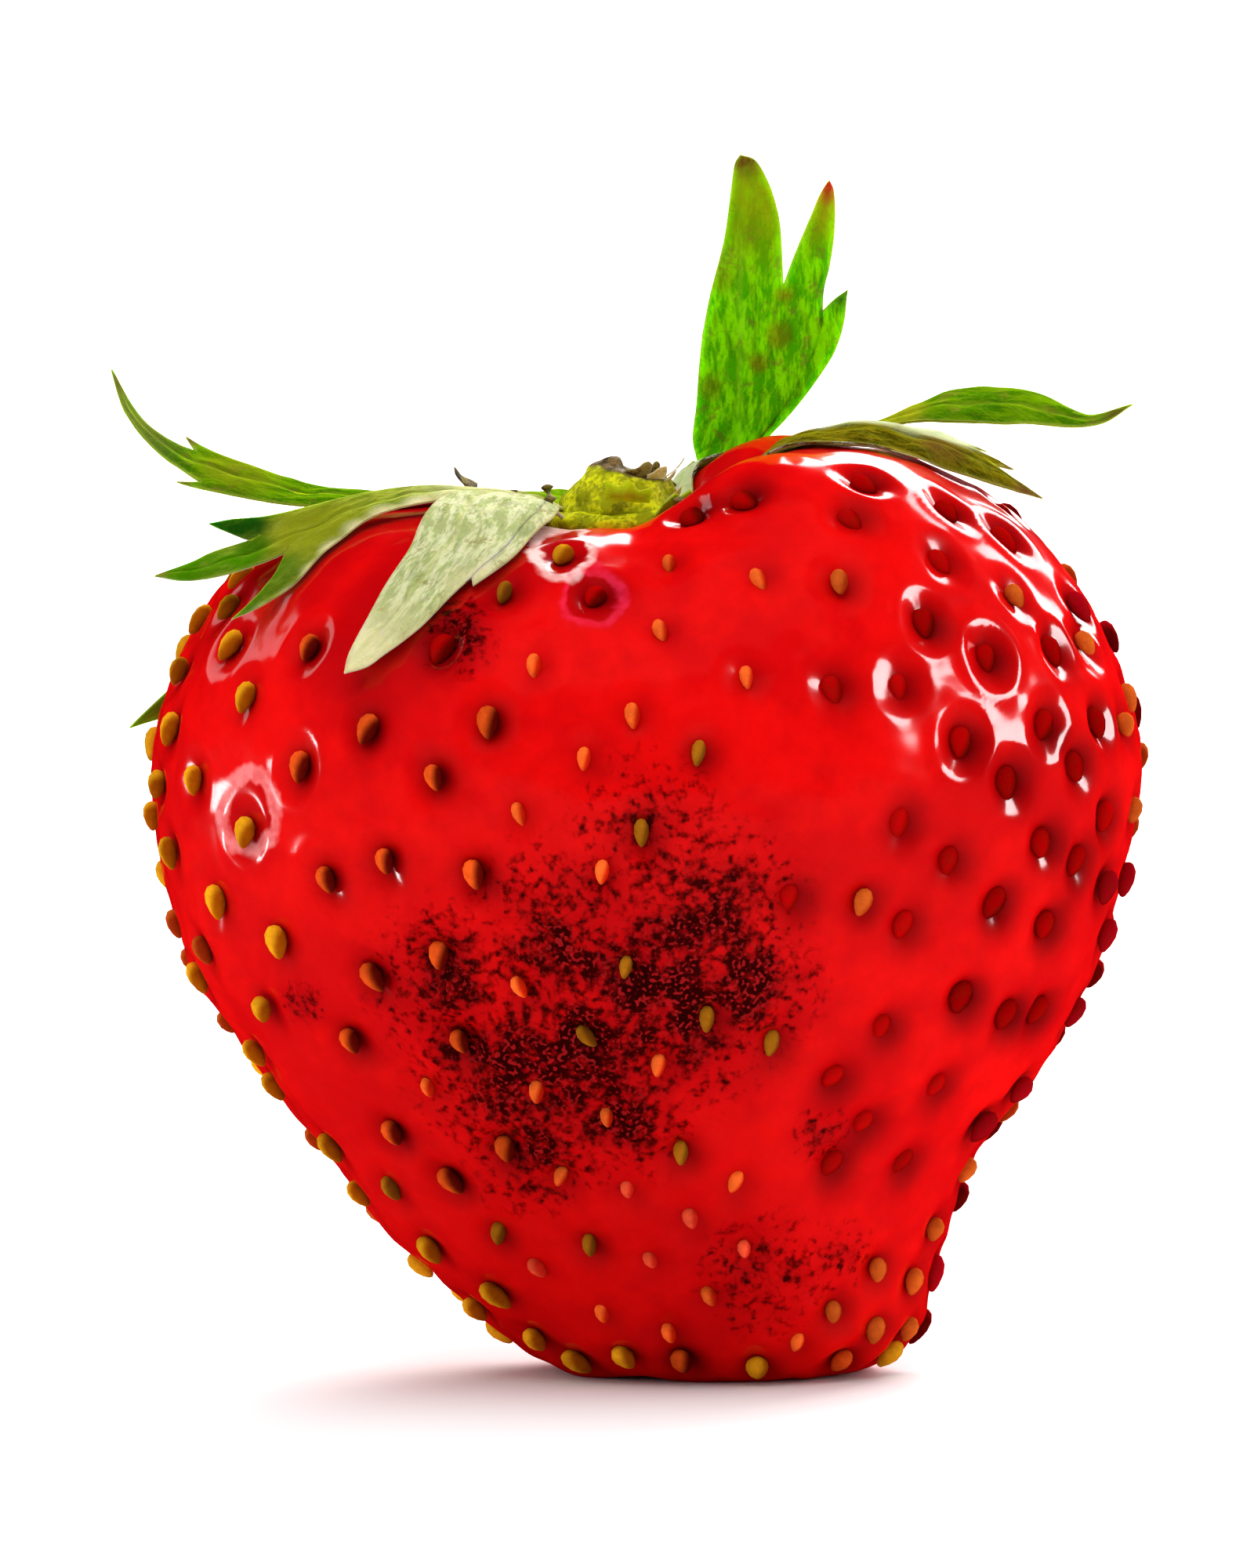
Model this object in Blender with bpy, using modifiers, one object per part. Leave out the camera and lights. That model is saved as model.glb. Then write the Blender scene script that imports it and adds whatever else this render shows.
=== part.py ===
"""A fresh strawberry, as picked, standing on the blunt flat of its tip.

Frame: metres, +Z up, origin at the middle of the flat at the tip. +X is to the right and -Y to the
front. Lengths below are in millimetres unless a name says otherwise, and points are (x, y, z).

The heart-shaped fruit carries a leafy cap. Five sepals grow in a lower ring and five bractlets in a
ring just above it, round the torn stub of the stalk. One sepal and one bractlet at the front are
broken off near the foot, and dried stamens show in the gap that they leave.
"""

import math

import bmesh
import bpy
import numpy as np
from mathutils import Vector

MM = 0.001

# ---- the fruit ---------------------------------------------------------------------------------
# Outlines of the fruit on four sides, from the middle of the tip, under the fruit, up over the
# shoulder and down to the stalk. Each point is (distance from the spine, height).
RIGHT_OUTLINE = [
    (0, 0), (4.4, 0), (6.1, 0.45), (7.6, 1.9), (9.0, 5.0), (11.1, 8.4), (14.2, 12.0), (16.9, 16.2),
    (18.4, 20.6), (19.0, 24.6), (17.8, 28.8), (15.2, 32.6), (11.4, 35.0), (6.8, 35.5), (2.8, 32.5),
    (0, 31.9),
]
LEFT_OUTLINE = [
    (0, 0), (5.2, 0), (7.1, 0.45), (9.0, 1.9), (11.8, 5.0), (13.9, 8.4), (16.0, 12.0), (17.9, 15.6),
    (18.8, 19.6), (18.7, 23.8), (17.3, 27.6), (14.6, 30.7), (10.8, 32.7), (6.4, 33.3), (2.6, 32.3),
    (0, 31.9),
]
FRONT_OUTLINE = [
    (0, 0), (3.3, 0), (4.7, 0.45), (6.1, 1.9), (8.1, 4.9), (9.9, 8.3), (11.8, 12.0), (13.5, 16.0),
    (14.7, 20.2), (15.0, 24.2), (14.0, 27.9), (11.8, 30.5), (8.9, 32.2), (5.4, 32.9), (2.6, 32.2),
    (0, 31.9),
]
BACK_OUTLINE = [
    (0, 0), (3.4, 0), (4.8, 0.45), (6.3, 1.9), (8.3, 5.0), (10.1, 8.4), (12.0, 12.1), (13.5, 16.2),
    (14.4, 20.5), (14.5, 24.6), (13.5, 28.2), (11.3, 30.7), (8.4, 32.1), (5.2, 32.7), (2.6, 32.2),
    (0, 31.9),
]
# Sideways place of the spine at each of those points: the fruit leans left from its tip to its stalk.
SPINE = [0, 0, 0, -0.2, -0.9, -1.6, -2.2, -2.7, -3.0, -3.3, -3.6, -3.9, -4.0, -4.0, -4.0, -4.0]
LAST_LEVEL = len(SPINE) - 1
STALK_X = SPINE[-1]
SWELL = 0.012  # share by which the fruit's gentle lobes swell and sink its sides
FRUIT_COLUMNS, FRUIT_ROWS = 56, 36

# ---- the leafy cap -----------------------------------------------------------------------------
LEAF_THICKNESS = 0.36
LEAF_GAP = 0.25  # clear space between a leaf and the fruit
LEAF_COLUMNS, LEAF_ROWS = 1, 8  # columns of faces between two points of the rim, and rows to the rim
# Each leaf is a blade laid along a path, its midrib, from the foot to the tip. "faces" is the way its
# upper side looks at the foot, in the middle and at the tip, and "droop" is how fast its edges fall
# away, per mm squared. "left" and "right" give its half width as (distance along, half width), and
# "rim" its lobes, teeth and notches from the left edge to the right, as (distance along, across).
LEAVES = {
    "sepal_right": {
        "path": [
            (-1.64, 1.1, 33.0), (0.0, 2.6, 35.0), (2.2, 4.4, 35.9), (5.0, 5.2, 36.0), (8.2, 5.1, 36.8),
            (11.3, 4.9, 36.8), (13.9, 4.6, 36.0), (15.6, 4.5, 36.5),
        ],
        "faces": [(-0.5, 0, 0.8), (0, -0.2, 1), (0, -0.6, 0.9)], "droop": 0.05,
        "left": [(0, 0.9), (1.5, 0.7), (7, 0.7), (9.5, 1.2), (12.5, 2.1)],
        "right": [(0, 0.9), (1.5, 0.7), (7, 0.7), (9.5, 1.2), (12.5, 2.1)],
        "rim": [(12.5, -2.1), (15.5, -1.5), (17.6, -0.7), (19.8, 0), (17.6, 0.7), (15.5, 1.5), (12.5, 2.1)],
    },
    "sepal_back": {
        "path": [(-4.5, 2.6, 33.0), (-5.3, 5.4, 33.6), (-6.2, 9.0, 32.9), (-7.1, 12.1, 31.0), (-7.8, 14.2, 27.8)],
        "faces": [(0, -0.2, 1), (0, 0.3, 1), (-0.1, 0.9, 0.4)], "droop": 0.05,
        "left": [(0, 0.8), (2, 1.0), (4, 1.9), (6.5, 2.7)],
        "right": [(0, 0.8), (2, 1.0), (4, 1.6), (6, 2.5), (8, 2.7)],
        "rim": [(9.2, -2.7), (8.8, -1.8), (11.5, -1.4), (14.4, 0), (12, 1.2), (9.5, 1.9), (7.5, 2.6)],
    },
    "sepal_left": {
        "path": [
            (-6.55, 0.5, 33.0), (-9.8, 1.0, 33.8), (-13.0, 1.5, 33.6), (-16.0, 2.0, 33.5), (-18.4, 2.3, 34.0),
            (-20.5, 2.5, 35.0), (-22.2, 2.6, 36.4), (-23.5, 2.6, 38.2),
        ],
        "faces": [(0.3, 0, 1), (0, -0.3, 0.9), (0.7, -0.35, 0.7)], "droop": 0.04,
        "left": [(0, 1.0), (4, 1.0), (8, 1.5), (11, 1.9)],
        "right": [(0, 1.0), (4, 1.0), (8, 1.5), (11, 1.9)],
        "rim": [(14.4, -1.9), (12.6, -1.1), (15.6, -0.45), (19.2, 0), (15.6, 0.5), (12.8, 1.1), (14.2, 1.9)],
    },
    "sepal_front_left": {
        "path": [
            (-5.5, -2.13, 33.0), (-7.4, -3.6, 33.7), (-9.0, -5.2, 33.6), (-10.5, -7.2, 32.7),
            (-11.9, -9.0, 31.3), (-13.2, -10.5, 29.7), (-14.5, -11.6, 28.1),
        ],
        "faces": [(0, 0, 1), (-0.3, -0.5, 0.8), (-0.4, -0.7, 0.6)], "droop": 0.04,
        "left": [(0, 1.0), (1, 1.6), (2, 2.1), (4, 2.7), (6, 2.9), (8, 2.7), (9.6, 2.5)],
        "right": [(0, 0.9), (2, 1.2), (4, 1.9), (6, 2.6)],
        "rim": [
            (9.6, -2.5), (9.2, -1.9), (11.5, -1.35), (13.5, -0.6), (14.8, 0.1), (13, 0.8), (10.5, 1.6),
            (8, 2.3), (6.5, 2.6),
        ],
    },
    "sepal_front_torn": {
        "path": [(-2.2, -1.95, 33.0), (-1.8, -2.3, 33.5), (-1.5, -2.6, 34.1)],
        "faces": [(-0.4, 0.4, 0.8), (-0.5, 0.5, 0.7), (-0.6, 0.6, 0.5)], "droop": 0.0,
        "left": [(0, 0.8), (2, 0.8)], "right": [(0, 0.9), (2, 1.0)],
        "rim": [(1.2, -0.8), (1.0, -0.5), (1.5, -0.2), (1.2, 0.2), (1.4, 0.6), (0.9, 1.0)],
    },
    "bractlet_upright": {
        "path": [
            (-3.1, 2.5, 33.8), (-2.1, 4.4, 34.6), (-0.9, 5.9, 35.2), (0.2, 6.5, 36.3), (0.7, 6.6, 38.5),
            (1.0, 6.4, 41.0), (0.9, 6.0, 43.6), (0.45, 5.4, 46.2),
        ],
        "faces": [(-0.6, -0.4, 0.6), (0, -1, 0), (0, -1, -0.1)], "droop": 0.02,
        "left": [(0, 0.8), (1.5, 0.6), (3.5, 0.7), (5, 1.1), (6.9, 1.55), (8.9, 1.8)],
        "right": [
            (0, 0.8), (1.5, 0.6), (4, 0.7), (5.2, 1.3), (6.9, 2.2), (7.7, 2.85), (8.7, 3.25), (11.1, 3.7),
            (16, 4.5),
        ],
        "rim": [
            (8.9, -1.8), (12, -1.4), (13.8, -0.85), (15.6, -0.5), (16.6, 0), (15.9, 0.9), (13.8, 1.1),
            (11, 1.28), (12.6, 1.75), (14.3, 2.6), (15.3, 3.3), (13, 3.2), (10.4, 2.95), (11.1, 3.7),
        ],
    },
    "bractlet_back_left": {
        "path": [
            (-6.0, 1.7, 33.7), (-9.0, 4.8, 33.8), (-12.2, 7.2, 32.7), (-15.0, 8.5, 30.6), (-17.7, 8.0, 28.2),
            (-20.3, 6.4, 26.0), (-22.9, 3.6, 24.4),
        ],
        "faces": [(0, 0, 1), (-0.5, 0.6, 0.7), (-0.9, 0.4, 0.2)], "droop": 0.05,
        "left": [(0, 0.9), (5, 1.2), (12, 1.9)],
        "right": [(0, 0.9), (5, 1.5), (13, 2.0)],
        "rim": [(12, -1.9), (17, -1.4), (21, -0.6), (23.6, 0), (20, 0.9), (15.6, 1.2), (16, 2.0)],
    },
    "bractlet_left": {
        "path": [
            (-6.36, -1.0, 33.7), (-9.3, -1.6, 34.7), (-12.5, -2.5, 34.4), (-15.3, -3.2, 33.3), (-17.6, -3.6, 32.1),
            (-19.6, -3.8, 31.3), (-21.8, -3.9, 30.7),
        ],
        "faces": [(0, 0, 1), (-0.2, -0.15, 1), (-0.4, -0.3, 0.8)], "droop": 0.09,
        "left": [(0, 0.8), (4.7, 0.8), (7.3, 1.3), (9.3, 2.2), (11, 3.1), (13, 3.8), (16, 4.5)],
        "right": [(0, 0.9), (4, 1.2), (8, 1.6), (11, 2.0), (13.8, 2.3)],
        "rim": [
            (13, -3.8), (12.2, -2.3), (11.2, -1.2), (13.2, -1.05), (15.2, -0.6), (16.5, 0), (15, 0.5),
            (13, 0.7), (11.6, 0.85), (12.6, 1.6), (13.8, 2.3),
        ],
    },
    "bractlet_front_torn": {
        "path": [(-3.8, -2.6, 33.7), (-3.75, -2.8, 34.1), (-3.7, -2.9, 34.6)],
        "faces": [(0, 0.5, 0.8), (0, 0.8, 0.5), (0, 1, 0.2)], "droop": 0.0,
        "left": [(0, 0.8), (2, 0.9)], "right": [(0, 0.8), (2, 0.9)],
        "rim": [(0.7, -0.9), (0.5, -0.4), (0.9, 0), (0.6, 0.4), (0.8, 0.9)],
    },
    "bractlet_right": {
        "path": [
            (-1.45, -0.4, 33.8), (0.6, -0.6, 35.2), (3.0, -0.7, 36.0), (5.6, -0.3, 36.0), (8.4, 0.0, 35.0),
            (10.4, 0.3, 33.8), (12.1, 0.4, 32.3),
        ],
        "faces": [(-0.7, 0, 0.7), (0.1, 0, 1), (0.7, 0, 0.7)], "droop": 0.05,
        "left": [(0, 0.9), (3, 1.1), (6, 1.5), (9, 1.8), (12.6, 2.0)],
        "right": [(0, 0.9), (3, 1.1), (8, 1.6)],
        "rim": [(12.6, -2.0), (11.6, -1.2), (13.8, -0.6), (15.5, 0), (13.5, 0.8), (11, 1.35), (8, 1.6)],
    },
}

# ---- the stalk's stub and the stamens ----------------------------------------------------------
# The stub's middle line with its radius: a flared foot, a green boss and a dried end bent right.
STUB = [
    (-4.0, 0.0, 32.35, 1.7), (-4.0, 0.0, 32.55, 2.15), (-4.0, 0.0, 33.1, 2.2), (-4.05, 0.0, 33.5, 1.95),
    (-4.15, 0.0, 33.95, 1.8), (-4.15, 0.0, 34.3, 1.45), (-3.9, 0.0, 34.5, 0.85), (-3.3, 0.05, 34.6, 0.5),
    (-2.6, 0.1, 34.75, 0.42), (-1.9, 0.15, 35.0, 0.3),
]
STAMEN_TURNS = [262, 272, 282, 291]  # degrees from the right, seen from above
STAMEN_RADIUS = 0.12
STAMEN_ANTHER = 0.24
# Middle line of a stamen, as (distance from the stalk's axis, height).
STAMEN_LINE = [(2.62, 32.85), (3.0, 33.1), (3.4, 33.5), (3.6, 33.9), (3.7, 34.3)]

COLOURS = {
    "flesh": ((0.62, 0.01, 0.012), 0.28),
    "leaf": ((0.13, 0.30, 0.02), 0.6),
    "stalk": ((0.25, 0.27, 0.03), 0.7),
    "stamen": ((0.20, 0.11, 0.03), 0.8),
}


# ---- shapes ------------------------------------------------------------------------------------
def through(points, places):
    """Reads a smooth (Catmull-Rom) line through points: place 0 is the first and 1 the second."""
    points = np.asarray(points, float)
    first = 2 * points[:1] - points[1:2]
    last = 2 * points[-1:] - points[-2:-1]
    rows = np.concatenate([first, points, last])
    places = np.clip(np.asarray(places, float), 0, len(points) - 1)
    step = np.minimum(places.astype(int), len(points) - 2)
    t = (places - step)[:, None]
    a, b, c, d = rows[step], rows[step + 1], rows[step + 2], rows[step + 3]
    return 0.5 * (
        2 * b + (c - a) * t + (2 * a - 5 * b + 4 * c - d) * t**2 + (3 * b - 3 * c + d - a) * t**3
    )


def outline(points, levels):
    """Reads an outline that starts and ends on the spine, as (distance, height), rounded at both ends."""
    points = np.asarray(points, float)
    mirror = np.array([-1.0, 1.0])
    whole = np.concatenate([points[1:2] * mirror, points, points[-2:-1] * mirror])
    return through(whole, np.asarray(levels, float) + 1)


def smoothstep(low, high, value):
    t = np.clip((value - low) / (high - low), 0, 1)
    return t * t * (3 - 2 * t)


def unit(rows):
    return rows / np.linalg.norm(rows, axis=1, keepdims=True)


def fruit_surface(turns, levels):
    """Points of the fruit's skin. A turn is the angle round the spine from the right. A level counts
    the outlines' points, from 0 at the middle of the tip to the last under the stalk.

    Across, each quarter of a section is a quarter ellipse between two outlines. Upwards, the left and
    right shoulders blend into the lower saddles at the front and back.
    """
    cos, sin = np.cos(turns), np.sin(turns)
    right, left = outline(RIGHT_OUTLINE, levels), outline(LEFT_OUTLINE, levels)
    front, back = outline(FRONT_OUTLINE, levels), outline(BACK_OUTLINE, levels)
    spine = through(np.asarray(SPINE, float)[:, None], levels)[:, 0]
    lobes = np.sin(3 * turns + 0.9) + 0.6 * np.sin(5 * turns + 0.45 * levels)
    swell = 1 + SWELL * np.sin(math.pi * levels / LAST_LEVEL) * lobes
    across = np.where(cos > 0, right[:, 0], left[:, 0]) * cos * swell
    deep = np.where(sin > 0, back[:, 0], front[:, 0]) * sin * swell
    to_right = smoothstep(0.0, 0.8, cos)
    to_left = smoothstep(0.3, 0.95, -cos)
    between = np.where(sin > 0, back[:, 1], front[:, 1])
    height = to_right * right[:, 1] + to_left * left[:, 1] + (1 - to_right - to_left) * between
    return np.stack([spine + across, deep, np.maximum(height, 0)], axis=1)


def half_width(leaf, along, across):
    """The blade's half width at a distance along the midrib, on the side where across lies."""
    left, right = np.asarray(leaf["left"], float), np.asarray(leaf["right"], float)
    on_left = np.interp(along, left[:, 0], left[:, 1])
    on_right = np.interp(along, right[:, 0], right[:, 1])
    return np.where(across < 0, on_left, on_right)


def leaf_surface(leaf, columns, rows):
    """Points of a blade. Columns run from its left edge to its right and rows from its foot to its
    rim, both from 0 to 1. A column keeps its share of the half width all the way to the rim."""
    rim = np.asarray(leaf["rim"], float)
    shares = rim[:, 1] / half_width(leaf, rim[:, 0], rim[:, 1])
    places = columns * (len(rim) - 1)
    share = np.interp(places, np.arange(len(rim)), shares)
    along = rows * np.interp(places, np.arange(len(rim)), rim[:, 0])
    across = share * half_width(leaf, along, share)

    path = np.asarray(leaf["path"], float)
    lengths = np.concatenate([[0], np.cumsum(np.linalg.norm(np.diff(path, axis=0), axis=1))])
    steps = np.interp(along, lengths, np.arange(len(path)))
    tangent = unit(through(path, steps + 0.05) - through(path, steps - 0.05))
    face = through(leaf["faces"], 2 * steps / (len(path) - 1))
    side = unit(np.cross(tangent, face))
    face = np.cross(side, tangent)
    return through(path, steps) + side * across[:, None] - face * (leaf["droop"] * across**2)[:, None]


# ---- Blender objects ---------------------------------------------------------------------------
def clear_scene():
    for thing in list(bpy.data.objects):
        bpy.data.objects.remove(thing)


def material(name):
    """A plain Principled material of its own for each piece, in one of the named colours."""
    colour, roughness = COLOURS[name]
    made = bpy.data.materials.new(name)
    made.use_nodes = True
    shader = made.node_tree.nodes["Principled BSDF"]
    shader.inputs["Base Color"].default_value = (*colour, 1)
    shader.inputs["Roughness"].default_value = roughness
    return made


def add_piece(name, data, colour_name):
    """Puts an object with its material in the strawberry's collection."""
    piece = bpy.data.objects.new(name, data)
    bpy.data.collections["strawberry"].objects.link(piece)
    data.materials.append(material(colour_name))
    return piece


def add_mesh(name, shape, points, colour_name):
    """Moves a bmesh's vertices to points, in millimetres, and makes a piece of it."""
    for vertex, point in zip(shape.verts, points):
        vertex.co = Vector(point) * MM
    mesh = bpy.data.meshes.new(name)
    shape.to_mesh(mesh)
    shape.free()
    mesh.shade_smooth()
    return add_piece(name, mesh, colour_name)


def add_fruit():
    """A ball whose vertices are moved onto the fruit's skin."""
    ball = bmesh.new()
    bmesh.ops.create_uvsphere(ball, u_segments=FRUIT_COLUMNS, v_segments=FRUIT_ROWS, radius=1)
    at = np.array([vertex.co for vertex in ball.verts])
    turns = np.arctan2(at[:, 1], at[:, 0])
    levels = (1 - np.arccos(np.clip(at[:, 2], -1, 1)) / math.pi) * LAST_LEVEL
    return add_mesh("fruit_body", ball, fruit_surface(turns, levels), "flesh")


def add_leaf(name, leaf, fruit):
    """A flat grid shaped into the blade, held clear of the fruit and given its thickness."""
    spans = len(leaf["rim"]) - 1
    sheet = bmesh.new()
    bmesh.ops.create_grid(sheet, x_segments=spans * LEAF_COLUMNS, y_segments=LEAF_ROWS, size=1)
    at = np.array([vertex.co for vertex in sheet.verts]) / 2 + 0.5
    blade = add_mesh(name, sheet, leaf_surface(leaf, at[:, 0], at[:, 1]), "leaf")
    clear = blade.modifiers.new("clear_of_fruit", "SHRINKWRAP")
    clear.target = fruit
    clear.wrap_method = "NEAREST_SURFACEPOINT"
    clear.wrap_mode = "OUTSIDE"
    clear.offset = LEAF_GAP * MM
    wall = blade.modifiers.new("thickness", "SOLIDIFY")
    wall.thickness = LEAF_THICKNESS * MM
    wall.offset = 1
    return blade


def add_rod(name, line, colour_name, sides):
    """A round rod along a line of (x, y, z, radius), as a curve with filled ends."""
    curve = bpy.data.curves.new(name, "CURVE")
    curve.dimensions = "3D"
    curve.bevel_depth = MM
    curve.bevel_resolution = sides
    curve.use_fill_caps = True
    rod = curve.splines.new("POLY")
    rod.points.add(len(line) - 1)
    for point, (x, y, z, radius) in zip(rod.points, line):
        point.co = (x * MM, y * MM, z * MM, 1)
        point.radius = radius
    return add_piece(name, curve, colour_name)


def add_stamen(name, turn):
    """A thin filament that rises outwards and ends in a small anther."""
    radii = [STAMEN_RADIUS] * (len(STAMEN_LINE) - 2) + [STAMEN_ANTHER, STAMEN_ANTHER / 2]
    line = [
        (STALK_X + distance * math.cos(turn), distance * math.sin(turn), height, radius)
        for (distance, height), radius in zip(STAMEN_LINE, radii)
    ]
    return add_rod(name, line, "stamen", 1)


def main():
    clear_scene()
    collection = bpy.data.collections.new("strawberry")
    bpy.context.scene.collection.children.link(collection)
    fruit = add_fruit()
    for name, leaf in LEAVES.items():
        add_leaf(name, leaf, fruit)
    add_rod("stem_stub", STUB, "stalk", 4)
    for number, degrees in enumerate(STAMEN_TURNS, 1):
        add_stamen(f"stamen_{number:02d}", math.radians(degrees))


main()
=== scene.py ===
"""A fresh strawberry with its leafy cap, standing on the blunt flat of its tip.

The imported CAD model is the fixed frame. Each piece below rides on its one body. The flesh, the
leaves, the stub and the stamens stand for its nodes, and the seeds, the collar and the fibres are
added to them. Shapes are worked out in millimetres in the same frame: +Z up, +X to the right, -Y to
the front, and the origin at the middle of the flat at the tip.
"""

import math

import bpy
import numpy as np
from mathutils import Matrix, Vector


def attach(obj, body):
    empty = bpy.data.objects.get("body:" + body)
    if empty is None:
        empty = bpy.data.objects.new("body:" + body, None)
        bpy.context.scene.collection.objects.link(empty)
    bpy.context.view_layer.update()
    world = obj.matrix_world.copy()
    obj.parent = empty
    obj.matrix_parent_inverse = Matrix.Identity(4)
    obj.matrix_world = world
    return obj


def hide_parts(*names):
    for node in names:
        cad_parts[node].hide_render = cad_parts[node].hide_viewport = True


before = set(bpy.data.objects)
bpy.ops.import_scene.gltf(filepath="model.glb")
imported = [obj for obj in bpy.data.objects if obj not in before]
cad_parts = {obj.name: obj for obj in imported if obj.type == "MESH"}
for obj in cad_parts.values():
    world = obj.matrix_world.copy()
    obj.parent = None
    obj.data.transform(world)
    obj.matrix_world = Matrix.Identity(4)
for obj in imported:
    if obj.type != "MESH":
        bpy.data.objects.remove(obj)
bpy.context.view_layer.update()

bl_info = {
    "name": "Strawberry",
    "version": (1, 0, 0),
    "blender": (4, 5, 0),
    "location": "3D View > Sidebar > Strawberry",
    "description": "Builds a fresh strawberry with its seeds, leafy cap and torn stalk",
    "category": "Add Mesh",
}

MM = 0.001
BODY = "root"
RANDOM_SEED = 11
VIEW_TILT = math.radians(5.8)  # the camera looks down by this angle

# ---- the fruit's skin --------------------------------------------------------------------------
# Outlines on four sides, from the middle of the tip to the stalk, as (distance from the spine, height).
RIGHT_OUTLINE = [
    (0, 0), (4.4, 0), (6.1, 0.45), (7.6, 1.9), (9.0, 5.0), (11.1, 8.4), (14.2, 12.0), (16.9, 16.2),
    (18.4, 20.6), (19.0, 24.6), (17.8, 28.8), (15.2, 32.6), (11.4, 35.0), (6.8, 35.5), (2.8, 32.5),
    (0, 31.9),
]
LEFT_OUTLINE = [
    (0, 0), (5.2, 0), (7.1, 0.45), (9.0, 1.9), (11.8, 5.0), (13.9, 8.4), (16.0, 12.0), (17.9, 15.6),
    (18.8, 19.6), (18.7, 23.8), (17.3, 27.6), (14.6, 30.7), (10.8, 32.7), (6.4, 33.3), (2.6, 32.3),
    (0, 31.9),
]
FRONT_OUTLINE = [
    (0, 0), (3.3, 0), (4.7, 0.45), (6.1, 1.9), (8.1, 4.9), (9.9, 8.3), (11.8, 12.0), (13.5, 16.0),
    (14.7, 20.2), (15.0, 24.2), (14.0, 27.9), (11.8, 30.5), (8.9, 32.2), (5.4, 32.9), (2.6, 32.2),
    (0, 31.9),
]
BACK_OUTLINE = [
    (0, 0), (3.4, 0), (4.8, 0.45), (6.3, 1.9), (8.3, 5.0), (10.1, 8.4), (12.0, 12.1), (13.5, 16.2),
    (14.4, 20.5), (14.5, 24.6), (13.5, 28.2), (11.3, 30.7), (8.4, 32.1), (5.2, 32.7), (2.6, 32.2),
    (0, 31.9),
]
# Sideways place of the spine at each of those points.
SPINE = [0, 0, 0, -0.2, -0.9, -1.6, -2.2, -2.7, -3.0, -3.3, -3.6, -3.9, -4.0, -4.0, -4.0, -4.0]
LAST_LEVEL = len(SPINE) - 1
STALK_X = SPINE[-1]
SWELL = 0.012  # how far the sides' lobes swell, as a share of the radius
SKIN_CELLS = 128  # cells along an edge of the cube that is blown up into the skin
UNEVEN = [(0.07, 5.0, 3), (0.025, 1.7, 4)]  # the skin's waves: height, length and random seed
AT_ONCE = 4096  # points that are measured against the seeds or the leaves in one go
# Painted shade on the front, with dark specks, as round spots of (sideways, height, reach, strength).
SHADE_PATCH_SPOTS = [
    (-2.2, 16.0, 3.4, 1.0), (-5.5, 13.4, 3.2, 1.0), (-8.6, 12.9, 2.6, 0.95), (-1.0, 19.0, 3.0, 0.85),
    (0.4, 16.4, 2.4, 0.9), (-7.4, 9.6, 2.0, 0.75), (-4.2, 11.2, 2.2, 0.85), (-6.0, 17.6, 3.4, 0.75),
    (-10.2, 16.2, 2.8, 0.65), (-3.0, 22.4, 2.8, 0.4), (-10.2, 29.5, 1.2, 0.75), (1.4, 4.6, 2.2, 0.5),
    (4.2, 5.2, 1.4, 0.4), (-16.1, 15.2, 0.7, 0.8), (3.6, 10.2, 1.0, 0.5),
]
NECK_LEVELS = (14.1, 14.9)  # the levels between which the skin pales towards the stalk
# Painted shade by the leaves: the flesh is painted a deeper red near them.
LEAF_SHADE_REACH = (0.7, 3.2)  # from how near to how far from a leaf its deeper red fades
# Colours laid over the flesh's own: fine mottling, a darker tip on the left, painted shade by the leaves,
# painted shade in the ring hollows and in a shade patch on the front with dark specks, a paler neck, and
# painted glints.
FINE_RED, TIP_RED, LEAF_SHADE_RED = (0.32, 0.0, 0.0), (0.30, 0.0, 0.001), (0.32, 0.0, 0.002)
RING_HOLLOW_SHADE, SHADE_PATCH_RED, NECK_PINK = (0.22, 0.0, 0.002), (0.11, 0.0, 0.002), (0.70, 0.20, 0.10)
SHADE_SPECK, GLINT = (0.012, 0.0, 0.0), (0.50, 0.010, 0.012)

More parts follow.
